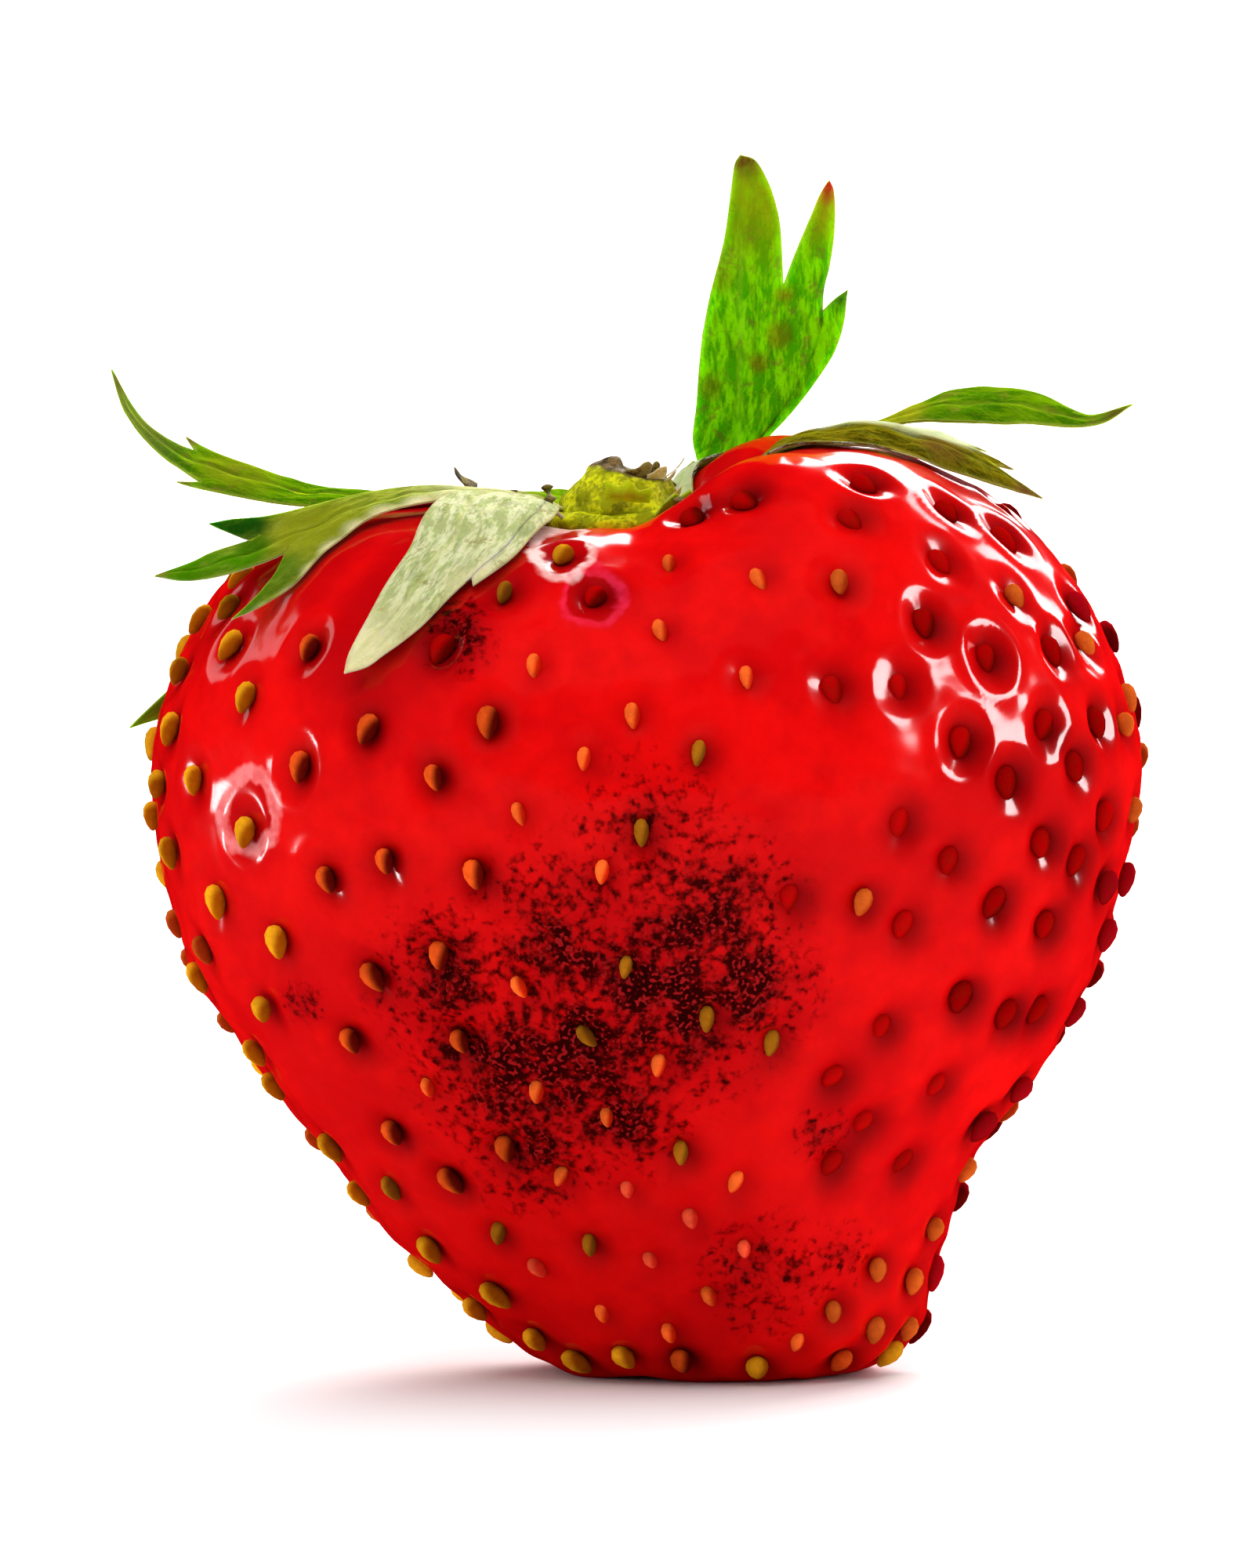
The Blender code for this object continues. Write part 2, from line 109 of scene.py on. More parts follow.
# ---- the seeds (achenes) -----------------------------------------------------------------------
# Places of the front's seeds as (sideways, height), by kind.
FRONT_SEEDS = {
    "golden": [
        (-19.0, 29.6), (-18.9, 28.4), (-18.3, 26.7), (-20.3, 23.4), (-18.3, 21.7), (-19.4, 18.7),
        (-17.1, 17.4), (-17.7, 14.7), (-6.2, 32.15), (-11.3, 5.2), (-8.8, 3.5), (-7.3, 1.6), (-20.9, 27.1),
        (-21.2, 25.0), (-21.2, 20.3), (-5.7, 0.8), (-3.9, 1.1), (1.2, 0.75), (6.2, 0.9),
    ],
    "orange": [
        (-7.9, 23.0), (-7.9, 16.2), (-11.4, 12.0), (-7.3, 11.9), (-6.3, 8.5),
        (-2.2, 32.0), (-2.5, 29.8), (-7.3, 28.5), (-3.6, 26.7), (-5.5, 25.0), (-4.8, 20.7), (0.7, 28.1),
        (1.2, 31.5), (0.3, 8.3), (-0.7, 3.6), (-4.8, 2.9), (-2.2, 2.1), (2.7, 1.7), (-4.6, 10.9),
        (-2.6, 13.1),
    ],
    "green": [
        (-1.2, 25.3), (-3.2, 22.2), (-3.9, 17.0), (-5.4, 14.2), (-0.7, 15.0), (1.7, 14.0), (-1.8, 9.6),
        (-5.2, 5.7), (-8.7, 6.1), (-12.8, 7.5), (-8.5, 31.0),
    ],
    "tan": [
        (4.3, 31.4), (11.0, 30.5), (5.1, 19.4), (4.1, 2.9), (5.7, 2.0), (7.0, 1.8), (5.8, 4.5),
        (7.2, 3.7), (8.0, 5.7),
    ],
    "maroon": [
        (-15.6, 31.5), (-10.9, 29.1), (9.0, 15.3), (10.8, 14.4), (12.0, 14.3), (10.3, 18.9), (12.2, 17.8),
        (7.6, 29.9), (10.0, 28.4), (8.9, 25.3), (10.7, 23.7), (12.5, 28.4), (12.1, 25.8), (14.3, 25.6),
        (13.4, 24.0), (12.1, 21.2), (13.4, 20.2), (14.6, 21.8), (5.3, 34.8), (0.6, 34.3), (-1.4, 33.6),
        (8.5, 33.7), (10.8, 33.3), (10.7, 32.4), (-5.1, 31.0),
    ],
    "salmon": [(-3.8, 8.1), (-1.4, 6.9), (0.7, 5.6), (-2.9, 5.2), (-7.2, 4.6)],
    "brown": [
        (-15.9, 28.7), (-16.2, 24.4), (-13.6, 25.9), (-13.0, 21.0), (-15.3, 20.1), (-13.4, 16.3),
        (-14.3, 13.7), (-12.8, 10.0), (-10.5, 8.1), (-11.2, 24.2), (-9.1, 26.4), (-9.6, 20.6),
        (-10.9, 17.4), (-10.2, 13.9), (-8.4, 9.6), (-1.7, 0.9), (4.4, 0.75),
    ],
    "faint": [
        (2.4, 19.6), (4.1, 12.4), (5.3, 10.5), (5.9, 14.3), (6.5, 22.4), (6.5, 27.5), (4.0, 27.5),
        (4.7, 33.6), (8.2, 32.0), (6.8, 18.4), (8.5, 20.7), (8.1, 11.8), (6.8, 8.7), (4.1, 8.9),
    ],
}
# Seeds of the front whose pit has a high, shining rim, with how high it is.
RINGED_SEEDS = {
    (-18.3, 21.7): 0.12, (10.0, 28.4): 0.3, (8.9, 25.3): 0.15, (10.7, 23.7): 0.1,
}
# Painted highlights: pale rings round pits as seen from the front, where the skin's shine would catch the
# pits' rims: the middle as (sideways, height), the inner and outer radius, how far the inside stands off to
# the right, how many times taller than wide it is, and its strength and colour.
PAINTED_RING_HIGHLIGHTS = [
    ((-6.33, 31.34), 0.82, 1.28, 0.12, 1.0, 1.0, (1.0, 0.62, 0.58)),
    ((-5.06, 29.53), 0.90, 1.30, -0.08, 1.0, 0.32, (0.95, 0.04, 0.14)),
    ((-18.18, 21.45), 1.15, 1.80, 0.05, 1.35, 0.50, (1.0, 0.42, 0.42)),
]
# Each kind's colour on its lit and its shaded side, length, width, how far its middle stands off the
# skin, how deep its pit is, and how far the pit's shade reaches. The front has no garnet ones.
SEED_KINDS = {
    "golden": ((0.80, 0.35, 0.010), (0.32, 0.07, 0.001), 1.32, 0.88, 0.06, 0.30, 0.75),
    "orange": ((0.95, 0.14, 0.02), (0.55, 0.012, 0.002), 0.98, 0.54, -0.14, 0.22, 0.70),
    "green": ((0.36, 0.13, 0.006), (0.15, 0.045, 0.003), 1.10, 0.56, -0.08, 0.30, 0.75),
    "tan": ((0.58, 0.10, 0.012), (0.32, 0.025, 0.003), 1.12, 0.70, -0.02, 0.30, 0.80),
    "maroon": ((0.36, 0.0, 0.001), (0.10, 0.0, 0.0), 1.26, 0.92, -0.26, 0.50, 1.0),
    "salmon": ((1.0, 0.10, 0.04), (0.75, 0.02, 0.01), 0.88, 0.56, -0.14, 0.20, 0.65),
    "garnet": ((0.34, 0.001, 0.006), (0.09, 0.0, 0.001), 1.38, 1.08, 0.10, 0.34, 0.9),
    "brown": ((0.78, 0.09, 0.010), (0.10, 0.002, 0.001), 1.18, 0.78, -0.08, 0.44, 0.80),
    "faint": ((0.46, 0.001, 0.002), (0.24, 0.0, 0.0), 1.20, 0.84, -0.30, 0.32, 0.95),
}
SEED_THICKNESS = 0.70
LARGE_SEED = 1.4  # the length of a large seed that the kinds' sizes are for
SEED_COLUMNS, SEED_ROWS = 10, 6
# The lattice's seeds keep clear of the front's, of the leaves, of the floor and of the stalk, and stay
# further from the front's where the skin faces the front.
SEED_GAP, LEAF_GAP, FLOOR_GAP, TOP_LEVEL = 2.1, 1.9, 0.75, 13.6
FRONT_FACING, FRONT_GAP = 0.42, 4.2
UNDER_LEAF = 0.9  # seeds nearer than this to a leaf are left out
TURN_JITTER, LEVEL_JITTER, LEAN = 0.02, 0.10, 0.22
# A pit's reach across, along and through the skin, its rim's place, width and height, how much higher a
# ringed one's is, and where its shade lies and how much longer than wide it is.
PIT_ACROSS, PIT_ALONG, PIT_THROUGH = 0.72, 0.88, 1.6
RIM_PLACE, RIM_WIDTH, RIM_HEIGHT, RINGED_HEIGHT = 1.75, 0.42, 0.14, 0.20
SHADE_RIGHT, SHADE_DOWN, SHADE_STRETCH = 0.28, 0.12, 1.15

# ---- the leafy cap -----------------------------------------------------------------------------
# Each blade lies along a path from foot to tip. "faces" is the way its upper side looks at the foot,
# middle and tip, "droop" how fast its edges fall away and "droop_right" the same for the right edge
# where it differs, "left" and "right" its half width along it, and "rim" its lobes, teeth and notches as
# (distance along, across).
LEAVES = {
    "sepal_right": {
        "path": [
            (-2.2, 1.48, 33.0), (-1.5, 3.9, 33.7), (0.2, 5.6, 34.35), (2.6, 5.9, 34.95), (5.2, 5.6, 35.65),
            (8.2, 5.15, 36.6), (11.3, 4.9, 36.65), (13.9, 4.6, 36.15), (15.65, 4.5, 36.8),
        ],
        "faces": [(-0.5, 0, 0.8), (0, -0.2, 1), (0, -0.6, 0.9)], "droop": 0.05,
        "left": [(0, 0.9), (2.5, 0.7), (9.5, 0.6), (11.6, 0.65), (12.75, 1.3), (13.8, 1.9), (15.0, 2.1)],
        "right": [(0, 0.9), (2.5, 0.7), (9.5, 0.6), (11.6, 0.6), (12.75, 0.95), (13.8, 1.35), (15.0, 1.45)],
        "rim": [
            (15.0, -2.1), (16.1, -1.95), (17.1, -1.45), (18.1, -0.85), (19.2, -0.42), (20.1, -0.25),
            (21.1, 0), (20.1, 0.25), (19.2, 0.4), (18.1, 0.75), (17.1, 1.1), (16.1, 1.4), (15.0, 1.45),
        ],
    },
    "sepal_back": {
        "path": [
            (-4.5, 2.6, 33.0), (-5.3, 5.4, 33.2), (-6.2, 9.0, 32.7), (-7.1, 12.1, 31.0), (-7.8, 14.2, 27.8),
        ],
        "faces": [(0, -0.2, 1), (0, 0.3, 1), (-0.1, 0.9, 0.4)], "droop": 0.05,
        "left": [(0, 0.8), (2, 1.0), (4, 1.9), (6.5, 2.7)],
        "right": [(0, 0.8), (2, 1.0), (4, 1.6), (6, 2.5), (8, 2.7)],
        "rim": [(9.2, -2.7), (8.8, -1.8), (11.5, -1.4), (14.4, 0), (12, 1.2), (9.5, 1.9), (7.5, 2.6)],
    },
    "sepal_left": {
        "path": [
            (-6.55, 0.5, 33.0), (-9.8, 1.0, 33.6), (-13.0, 1.5, 33.45), (-16.0, 2.0, 33.55),
            (-18.6, 2.3, 34.15), (-20.6, 2.5, 34.8), (-22.1, 2.6, 35.8), (-22.95, 2.6, 36.9),
            (-23.55, 2.6, 38.3),
        ],
        "faces": [(0.3, 0, 1), (0, -0.3, 0.9), (0.7, -0.35, 0.7)], "droop": 0.04,
        "left": [(0, 1.0), (4, 0.9), (8, 1.0), (9.7, 1.2), (11.8, 1.45), (12.9, 1.55), (14.4, 1.75)],
        "right": [(0, 1.0), (4, 0.9), (8, 1.0), (9.7, 1.2), (11.8, 1.45), (12.9, 1.55), (15.0, 1.8)],
        "rim": [
            (14.4, -1.75), (13.6, -1.2), (14.5, -0.85), (15.1, -0.75), (16.4, -0.5), (18, -0.3), (19.2, 0),
            (18, 0.3), (16.4, 0.5), (15.1, 0.75), (14.4, 1.0), (15.0, 1.8),
        ],
    },
    "sepal_front_left": {
        "path": [
            (-6.3, 0.3, 33.0), (-7.4, 0.1, 33.6), (-8.7, -1.0, 33.75), (-9.5, -3.2, 33.9),
            (-9.9, -5.5, 33.6), (-10.4, -7.8, 32.7), (-11.5, -9.6, 31.4), (-12.6, -10.9, 30.0),
            (-14.5, -11.9, 28.0),
        ],
        "faces": [(0, 0, 1), (-0.03, -0.2, 1), (-0.5, -0.7, 0.5)], "droop": 0.03,
        "left": [
            (0, 0.6), (1.3, 0.9), (2.4, 1.6), (3.6, 2.6), (5.0, 3.15), (7.3, 3.25), (9.5, 2.85), (10.9, 2.68),
            (12.6, 2.15),
        ],
        "right": [(0, 0.6), (2, 1.0), (5.3, 1.3), (8.8, 1.62), (10.2, 1.62)],
        "rim": [
            (12.6, -2.15), (12.15, -1.85), (13.65, -1.55), (14.7, -1.35), (15.6, -1.1), (16.4, -0.84),
            (17.15, -0.6), (17.8, 0), (17.0, 0.54), (15.7, 1.04), (14.25, 1.38), (13.05, 1.47), (11.6, 1.54),
            (10.2, 1.62),
        ],
    },
    "sepal_front_torn": {
        "path": [(-2.2, -1.95, 33.0), (-1.8, -2.3, 33.5), (-1.5, -2.6, 34.1)],
        "faces": [(-0.4, 0.4, 0.8), (-0.5, 0.5, 0.7), (-0.6, 0.6, 0.5)], "droop": 0.0,
        "left": [(0, 0.8), (2, 0.8)], "right": [(0, 0.9), (2, 1.0)],
        "rim": [(1.2, -0.8), (1.0, -0.5), (1.5, -0.2), (1.2, 0.2), (1.4, 0.6), (0.9, 1.0)],
    },
    "bractlet_upright": {
        "path": [
            (-2.9, 3.0, 33.0), (-2.7, 4.6, 33.0), (-1.5, 6.3, 33.0), (-0.2, 7.0, 33.75), (0.45, 7.0, 35.7),
            (0.55, 6.75, 38.5), (0.55, 6.4, 41.2), (0.55, 6.0, 43.8), (0.55, 5.4, 46.5),
        ],
        "faces": [(-0.5, -0.3, 0.8), (0, -1, 0), (0, -1, -0.1)], "droop": 0.02,
        "left": [
            (0, 0.8), (3.0, 0.7), (5.0, 1.0), (6.4, 1.55), (7.3, 1.68), (8.4, 1.66), (9.4, 1.61), (11, 1.47),
        ],
        "right": [
            (0, 0.8), (3.3, 0.7), (6.0, 0.75), (7.0, 1.1), (7.64, 1.6), (8.37, 2.25), (9.1, 2.87),
            (9.84, 3.4), (10.67, 3.8), (11.5, 4.03), (12.66, 4.16), (13.6, 4.47), (14.7, 4.7),
            (15.7, 4.8), (16.6, 4.8), (17.1, 4.65), (18, 4.6),
        ],
        "rim": [
            (11, -1.47), (12.55, -1.17), (14.15, -0.76), (15.2, -0.55), (16.8, -0.35), (17.75, -0.22),
            (18.15, 0.0), (17.9, 0.6), (17.0, 1.1), (16.05, 1.4), (15.2, 1.55), (14.1, 1.62), (12.97, 1.67),
            (13.9, 2.0), (14.9, 2.4), (15.7, 2.74), (16.4, 3.02), (16.9, 3.3), (17.05, 3.44), (16.6, 3.6),
            (15.7, 3.65), (14.67, 3.6), (13.6, 3.44), (12.76, 3.24), (11.87, 3.18), (12.3, 3.65),
            (12.66, 4.16),
        ],
    },
    "bractlet_back_left": {
        "path": [
            (-6.0, 1.7, 33.2), (-9.0, 4.8, 33.3), (-12.2, 7.2, 32.5), (-15.0, 8.5, 30.6), (-17.7, 8.0, 28.2),
            (-20.3, 6.4, 26.0), (-22.9, 3.6, 24.4),
        ],
        "faces": [(0, 0, 1), (-0.5, 0.6, 0.7), (-0.9, 0.4, 0.2)], "droop": 0.05,
        "left": [(0, 0.9), (5, 1.2), (12, 1.9)],
        "right": [(0, 0.9), (5, 1.5), (13, 2.0)],
        "rim": [(12, -1.9), (17, -1.4), (21, -0.6), (23.6, 0), (20, 0.9), (15.6, 1.2), (16, 2.0)],
    },
    "bractlet_left": {
        "path": [
            (-6.4, -0.4, 33.3), (-8.4, -1.0, 33.75), (-10.4, -1.7, 33.95), (-12.0, -2.2, 33.85),
            (-13.5, -2.7, 33.55), (-15.05, -3.1, 33.0), (-16.6, -3.4, 32.35), (-18.1, -3.6, 31.75),
            (-20.2, -3.8, 31.15), (-21.8, -3.9, 30.95),
        ],
        "faces": [(0, 0, 1), (-0.2, -0.2, 1), (-0.45, -0.25, 0.9)], "droop": 0.09, "droop_right": -0.12,
        "left": [
            (0, 0.6), (2, 0.9), (5.5, 1.0), (8.0, 1.1), (9.9, 2.0), (11.4, 2.8), (12.9, 3.3), (14.1, 3.5),
        ],
        "right": [(0, 0.7), (3, 0.9), (7, 1.2), (9.3, 1.6), (11.2, 2.05), (12.6, 2.5), (13.7, 2.65)],
        "rim": [
            (14.1, -3.5), (13.3, -3.0), (12.4, -2.3), (11.7, -1.4), (11.5, -1.05), (12.8, -1.08),
            (13.6, -1.08), (14.6, -0.95), (15.5, -0.65), (16.4, 0), (15.6, 0.5), (14.6, 0.95), (13.8, 1.2),
            (12.4, 1.2), (13.0, 1.9), (13.7, 2.65),
        ],
    },
    "bractlet_front_torn": {
        "path": [(-3.8, -2.6, 33.7), (-3.75, -2.8, 34.1), (-3.7, -2.9, 34.6)],
        "faces": [(0, 0.5, 0.8), (0, 0.8, 0.5), (0, 1, 0.2)], "droop": 0.0,
        "left": [(0, 0.8), (2, 0.9)], "right": [(0, 0.8), (2, 0.9)],
        "rim": [(0.7, -0.9), (0.5, -0.4), (0.9, 0), (0.6, 0.4), (0.8, 0.9)],
    },
    "bractlet_right": {
        "path": [
            (-1.9, -0.3, 33.2), (0.0, -0.4, 33.75), (1.2, -0.4, 34.85), (2.4, -0.4, 35.6), (3.6, -0.2, 36.0),
            (5.2, 0.0, 36.2), (7.3, 0.0, 35.85), (9.4, 0.0, 35.05), (10.9, 0.1, 34.2), (12.1, 0.1, 33.55),
        ],
        "faces": [(-0.6, 0, 0.8), (0, -0.1, 1), (0.45, -0.35, 0.85)], "droop": 0.03, "droop_right": 0.15,
        "left": [(0, 0.9), (3, 1.0), (6.3, 1.5), (10, 1.9), (12.8, 2.0)],
        "right": [(0, 0.9), (3, 1.0), (6.3, 1.5), (8.5, 1.7)],
        "rim": [
            (12.8, -2.0), (11.9, -1.6), (14.0, -1.4), (13.2, -0.7), (15.4, 0), (13.8, 0.75), (12.3, 1.3),
            (10.0, 1.66), (8.5, 1.7),
        ],
    },
}
BLADE_COLUMNS, BLADE_ROWS = 8, 56  # columns between two points of the rim, and rows from foot to rim
BLADE_UNIT = 30.0  # millimetres to one unit of the blades' map
# The rim's share of the thickness, how far in it thins, the midrib's height and width, and the height and
# size of the puffs between the veins.
RIM_SHARE, RIM_TAPER, RIB_HEIGHT, RIB_WIDTH, PUFF_HEIGHT, PUFF_SIZE = 0.25, 0.45, 0.09, 0.16, 0.05, 1.6
# How each blade is coloured: the mixed greens of its upper side, its underside, and patches of another
# colour as (distance along, across, reach, strength, colour).
BROWN, DARK_BROWN, CRIMSON = (0.10, 0.035, 0.010), (0.03, 0.018, 0.006), (0.40, 0.004, 0.012)
CREAM, YELLOW, OLIVE = (0.72, 0.66, 0.36), (0.38, 0.36, 0.01), (0.20, 0.20, 0.005)
SHADE_GREEN, PALE, RUST = (0.008, 0.055, 0.002), (0.55, 0.60, 0.32), (0.24, 0.06, 0.006)
LEAF_GREEN = (0.045, 0.16, 0.0005)
BLADE_COLOURS = {
    "sepal_right": ((0.045, 0.145, 0.0005), (0.11, 0.23, 0.001), (0.20, 0.28, 0.03), [
        (0, 0, 10.5, 0.85, PALE), (11.8, 0, 1.6, 0.8, YELLOW), (21.0, 0, 1.6, 1.0, BROWN),
    ]),
    "sepal_back": ((0.07, 0.20, 0.001), (0.16, 0.30, 0.002), (0.40, 0.48, 0.24), [
        (14.4, 0, 1.5, 0.9, BROWN),
    ]),
    "sepal_left": ((0.045, 0.15, 0.0005), (0.12, 0.26, 0.001), (0.20, 0.28, 0.03), [
        (0, 0, 7.6, 0.8, PALE), (12.5, 0.2, 2.2, 0.5, OLIVE), (17.6, 0, 3.4, 0.7, (0.16, 0.17, 0.03)),
        (19.2, 0, 1.4, 0.7, BROWN), (14.6, -1.85, 1.0, 1.0, BROWN), (15.2, 1.8, 1.1, 1.0, BROWN),
    ]),
    "sepal_front_left": ((0.34, 0.38, 0.15), (0.60, 0.61, 0.34), (0.44, 0.50, 0.30), [
        (17.8, 0, 4.5, 0.7, CREAM), (0, 0, 3.0, 0.9, OLIVE), (12.6, -2.1, 1.6, 0.5, CREAM),
    ]),
    "sepal_front_torn": ((0.18, 0.22, 0.004), (0.40, 0.42, 0.01), (0.26, 0.26, 0.01), [
        (1.5, 0, 0.6, 0.8, BROWN),
    ]),
    "bractlet_upright": ((0.07, 0.40, 0.0005), (0.25, 0.66, 0.001), (0.22, 0.40, 0.04), [
        (2.5, 0, 2.6, 0.9, PALE), (18.1, 0.3, 5.5, 0.85, (0.27, 0.32, 0.003)),
        (18.4, 0.1, 1.4, 1.0, (0.16, 0.02, 0.01)), (17.2, 3.4, 3.4, 0.75, (0.32, 0.29, 0.004)),
        (17.4, 3.5, 1.7, 1.0, CRIMSON),
        (12.9, 4.3, 1.6, 1.0, DARK_BROWN), (11.0, 1.5, 0.7, 0.5, RUST), (13.4, -1.0, 1.0, 0.4, RUST),
        (9.0, -1.2, 0.7, 0.4, RUST), (12.6, 1.7, 0.5, 0.6, RUST), (9.9, 0.7, 0.5, 0.5, RUST),
    ]),
    "bractlet_back_left": ((0.08, 0.20, 0.002), (0.18, 0.30, 0.004), (0.14, 0.20, 0.015), [
        (23.6, 0, 3.0, 0.9, BROWN), (17, 0, 5, 0.4, OLIVE),
    ]),
    "bractlet_left": ((0.13, 0.18, 0.008), (0.28, 0.32, 0.03), (0.36, 0.42, 0.22), [
        (0, 0, 7, 0.6, CREAM), (10.2, -0.3, 3.0, 0.95, (0.19, 0.21, 0.006)),
        # Painted shade: the lobe towards the back is painted dark green where it lies in shade.
        (12.3, 1.9, 1.5, 1.0, SHADE_GREEN), (13.8, 2.5, 1.8, 1.0, SHADE_GREEN),
        (15.2, 0.2, 2.4, 1.0, LEAF_GREEN), (13.0, -0.2, 1.5, 1.0, LEAF_GREEN),
        (12.3, 0.5, 1.0, 0.8, (0.03, 0.10, 0.001)),
        (12.0, -2.1, 1.3, 0.9, (0.05, 0.12, 0.003)), (13.4, -2.9, 1.2, 0.9, (0.05, 0.12, 0.003)),
        (16.5, 0, 0.8, 0.9, BROWN), (14.4, -3.8, 0.7, 0.8, BROWN), (4.6, -1.2, 1.1, 1.0, CREAM),
        (6.0, -1.3, 1.1, 1.0, CREAM), (7.4, -1.5, 1.1, 1.0, CREAM), (8.6, -1.8, 1.0, 1.0, CREAM),
        (9.7, -2.4, 1.0, 1.0, CREAM), (10.8, -3.1, 0.9, 1.0, CREAM), (11.9, -3.6, 0.8, 1.0, CREAM),
        (12.9, -3.9, 0.8, 0.9, CREAM),
    ]),
    "bractlet_front_torn": ((0.22, 0.24, 0.004), (0.50, 0.50, 0.01), (0.40, 0.42, 0.01), [
        (0.8, 0, 0.3, 0.8, BROWN),
    ]),
    "bractlet_right": ((0.055, 0.045, 0.001), (0.16, 0.12, 0.003), (0.50, 0.50, 0.25), [
        (7.5, -1.9, 1.8, 0.9, PALE), (9.6, -2.0, 2.2, 1.0, PALE), (11.4, -1.8, 1.7, 1.0, PALE),
        (15.5, 0, 2.0, 1.0, BROWN), (14.0, -1.5, 0.8, 1.0, BROWN), (12.8, -2.0, 0.7, 0.9, BROWN),
        (11.0, 0.3, 1.4, 0.6, BROWN),
    ]),
}

# ---- the stalk's stub, collar and stamens ------------------------------------------------------
# Middle line of the stub with its radius.
STUB = [
    (-4.0, 0.0, 32.35, 1.7), (-4.0, 0.0, 32.55, 2.15), (-4.0, 0.0, 33.1, 2.25), (-4.0, 0.0, 33.6, 2.1),
    (-4.0, 0.0, 34.1, 1.9), (-4.0, 0.0, 34.5, 1.5), (-3.95, 0.0, 34.75, 0.9), (-3.9, 0.0, 34.8, 0.05),
]
# The torn fibres at its top: root, tip, the width at the root, and whether it is pale.
FIBRES = [
    ((-3.7, -0.9, 34.3), (-2.9, -1.2, 35.05), 0.9, 0), ((-3.2, -0.8, 34.2), (-2.3, -1.1, 34.9), 0.9, 1),
    ((-2.9, -0.5, 33.9), (-1.9, -0.9, 34.8), 0.7, 1), ((-2.6, -0.9, 33.3), (-1.7, -1.3, 34.2), 0.7, 1),
    ((-2.7, -0.2, 34.2), (-1.6, -0.5, 35.2), 0.30, 1), ((-4.6, 0.6, 34.3), (-4.2, 0.8, 35.0), 1.0, 0),
    ((-3.3, 0.6, 34.2), (-2.6, 0.7, 34.9), 0.9, 0), ((-9.6, 0.9, 33.9), (-10.4, 0.7, 34.7), 0.8, 0),
]
STAMEN_TURNS = [306, 20, 62, 105, 140, 185, 222]  # their places round the stub, in degrees
STAMEN_LINE = [(2.75, 32.85), (3.1, 33.05), (3.5, 33.3), (3.75, 33.6), (3.85, 33.9)]  # (out, height)
STAMEN_RADIUS, ANTHER_RADIUS, ANTHER_PLACE = 0.08, 0.17, 0.9
COLLAR_RADIUS, COLLAR_HEIGHT, COLLAR_HALF_WIDTH, COLLAR_HALF_HEIGHT = 2.45, 32.75, 0.62, 0.42

# ---- the stage ---------------------------------------------------------------------------------
# Softboxes show in the skin's shine: name, azimuth and elevation of the place each shines from, distance
# in metres, width, height and watts. Azimuth 0 is the front and 90 the right.
SOFTBOXES = [
    ("softbox_right", 80, 21, 0.50, 0.23, 0.18, 3.4),
    ("softbox_left", -96, -4, 0.14, 0.020, 0.020, 0.034),
    ("softbox_left_back", -126, 28, 0.50, 0.15, 0.15, 0.15),
    ("softbox_back", 158, 29, 0.50, 0.36, 0.24, 3.4),
]
# Wide suns give the even light and stay out of the shine: name, azimuth, elevation, strength, spread.
SUNS = [
    ("sky_sun", -15, 76, 2.0, 60), ("fill_right", 105, 10, 1.4, 80), ("fill_left", -80, 10, 0.9, 80),
]
LIT_PLACE = Vector((-3.0 * MM, 0, 20.0 * MM))  # where the lights point
SEEN_PLACE = Vector((-3.8 * MM, 0, 22.6 * MM))  # where the camera points
ROOM_LIGHT = 0.40  # the world's light, against 1 where the camera looks past the floor
FLOOR_RADIUS = 6.0  # metres
SENSOR_WIDTH = 36.0


# ---- reading smooth lines ----------------------------------------------------------------------
def through(points, places):
    """Reads a smooth line through points, place 0 being the first and 1 the second.

    Catmull-Rom: each stretch is the cubic that leaves and reaches its two points along the chord
    between each point's neighbours.
    """
    points = np.asarray(points, float)
    first = 2 * points[:1] - points[1:2]
    last = 2 * points[-1:] - points[-2:-1]
    rows = np.concatenate([first, points, last])
    places = np.clip(np.asarray(places, float), 0, len(points) - 1)
    step = np.minimum(places.astype(int), len(points) - 2)
    t = (places - step)[..., None]
    a, b, c, d = rows[step], rows[step + 1], rows[step + 2], rows[step + 3]
    return 0.5 * (
        2 * b + (c - a) * t + (2 * a - 5 * b + 4 * c - d) * t**2 + (3 * b - 3 * c + d - a) * t**3
    )


def outline(points, levels):
    """Reads an outline of the fruit, rounded where it crosses the spine at both ends."""
    points = np.asarray(points, float)
    mirror = np.array([-1.0, 1.0])
    whole = np.concatenate([points[1:2] * mirror, points, points[-2:-1] * mirror])
    return through(whole, np.asarray(levels, float) + 1)


def smoothstep(low, high, value):
    t = np.clip((value - low) / (high - low), 0, 1)
    return t * t * (3 - 2 * t)


def unit(rows):
    return rows / np.maximum(np.linalg.norm(rows, axis=-1, keepdims=True), 1e-12)


def waves(points, size, seed):
    """Smooth random ups and downs of about -1 to 1: the mean of eight sine waves of a given length
    that run through space in random directions."""
    random = np.random.default_rng(seed)
    ways = unit(random.normal(size=(8, 3))) * (2 * math.pi / size)
    ways = ways * random.uniform(0.7, 1.4, (8, 1))
    return np.sin(points @ ways.T + random.uniform(0, 2 * math.pi, 8)).sum(axis=-1) / 3


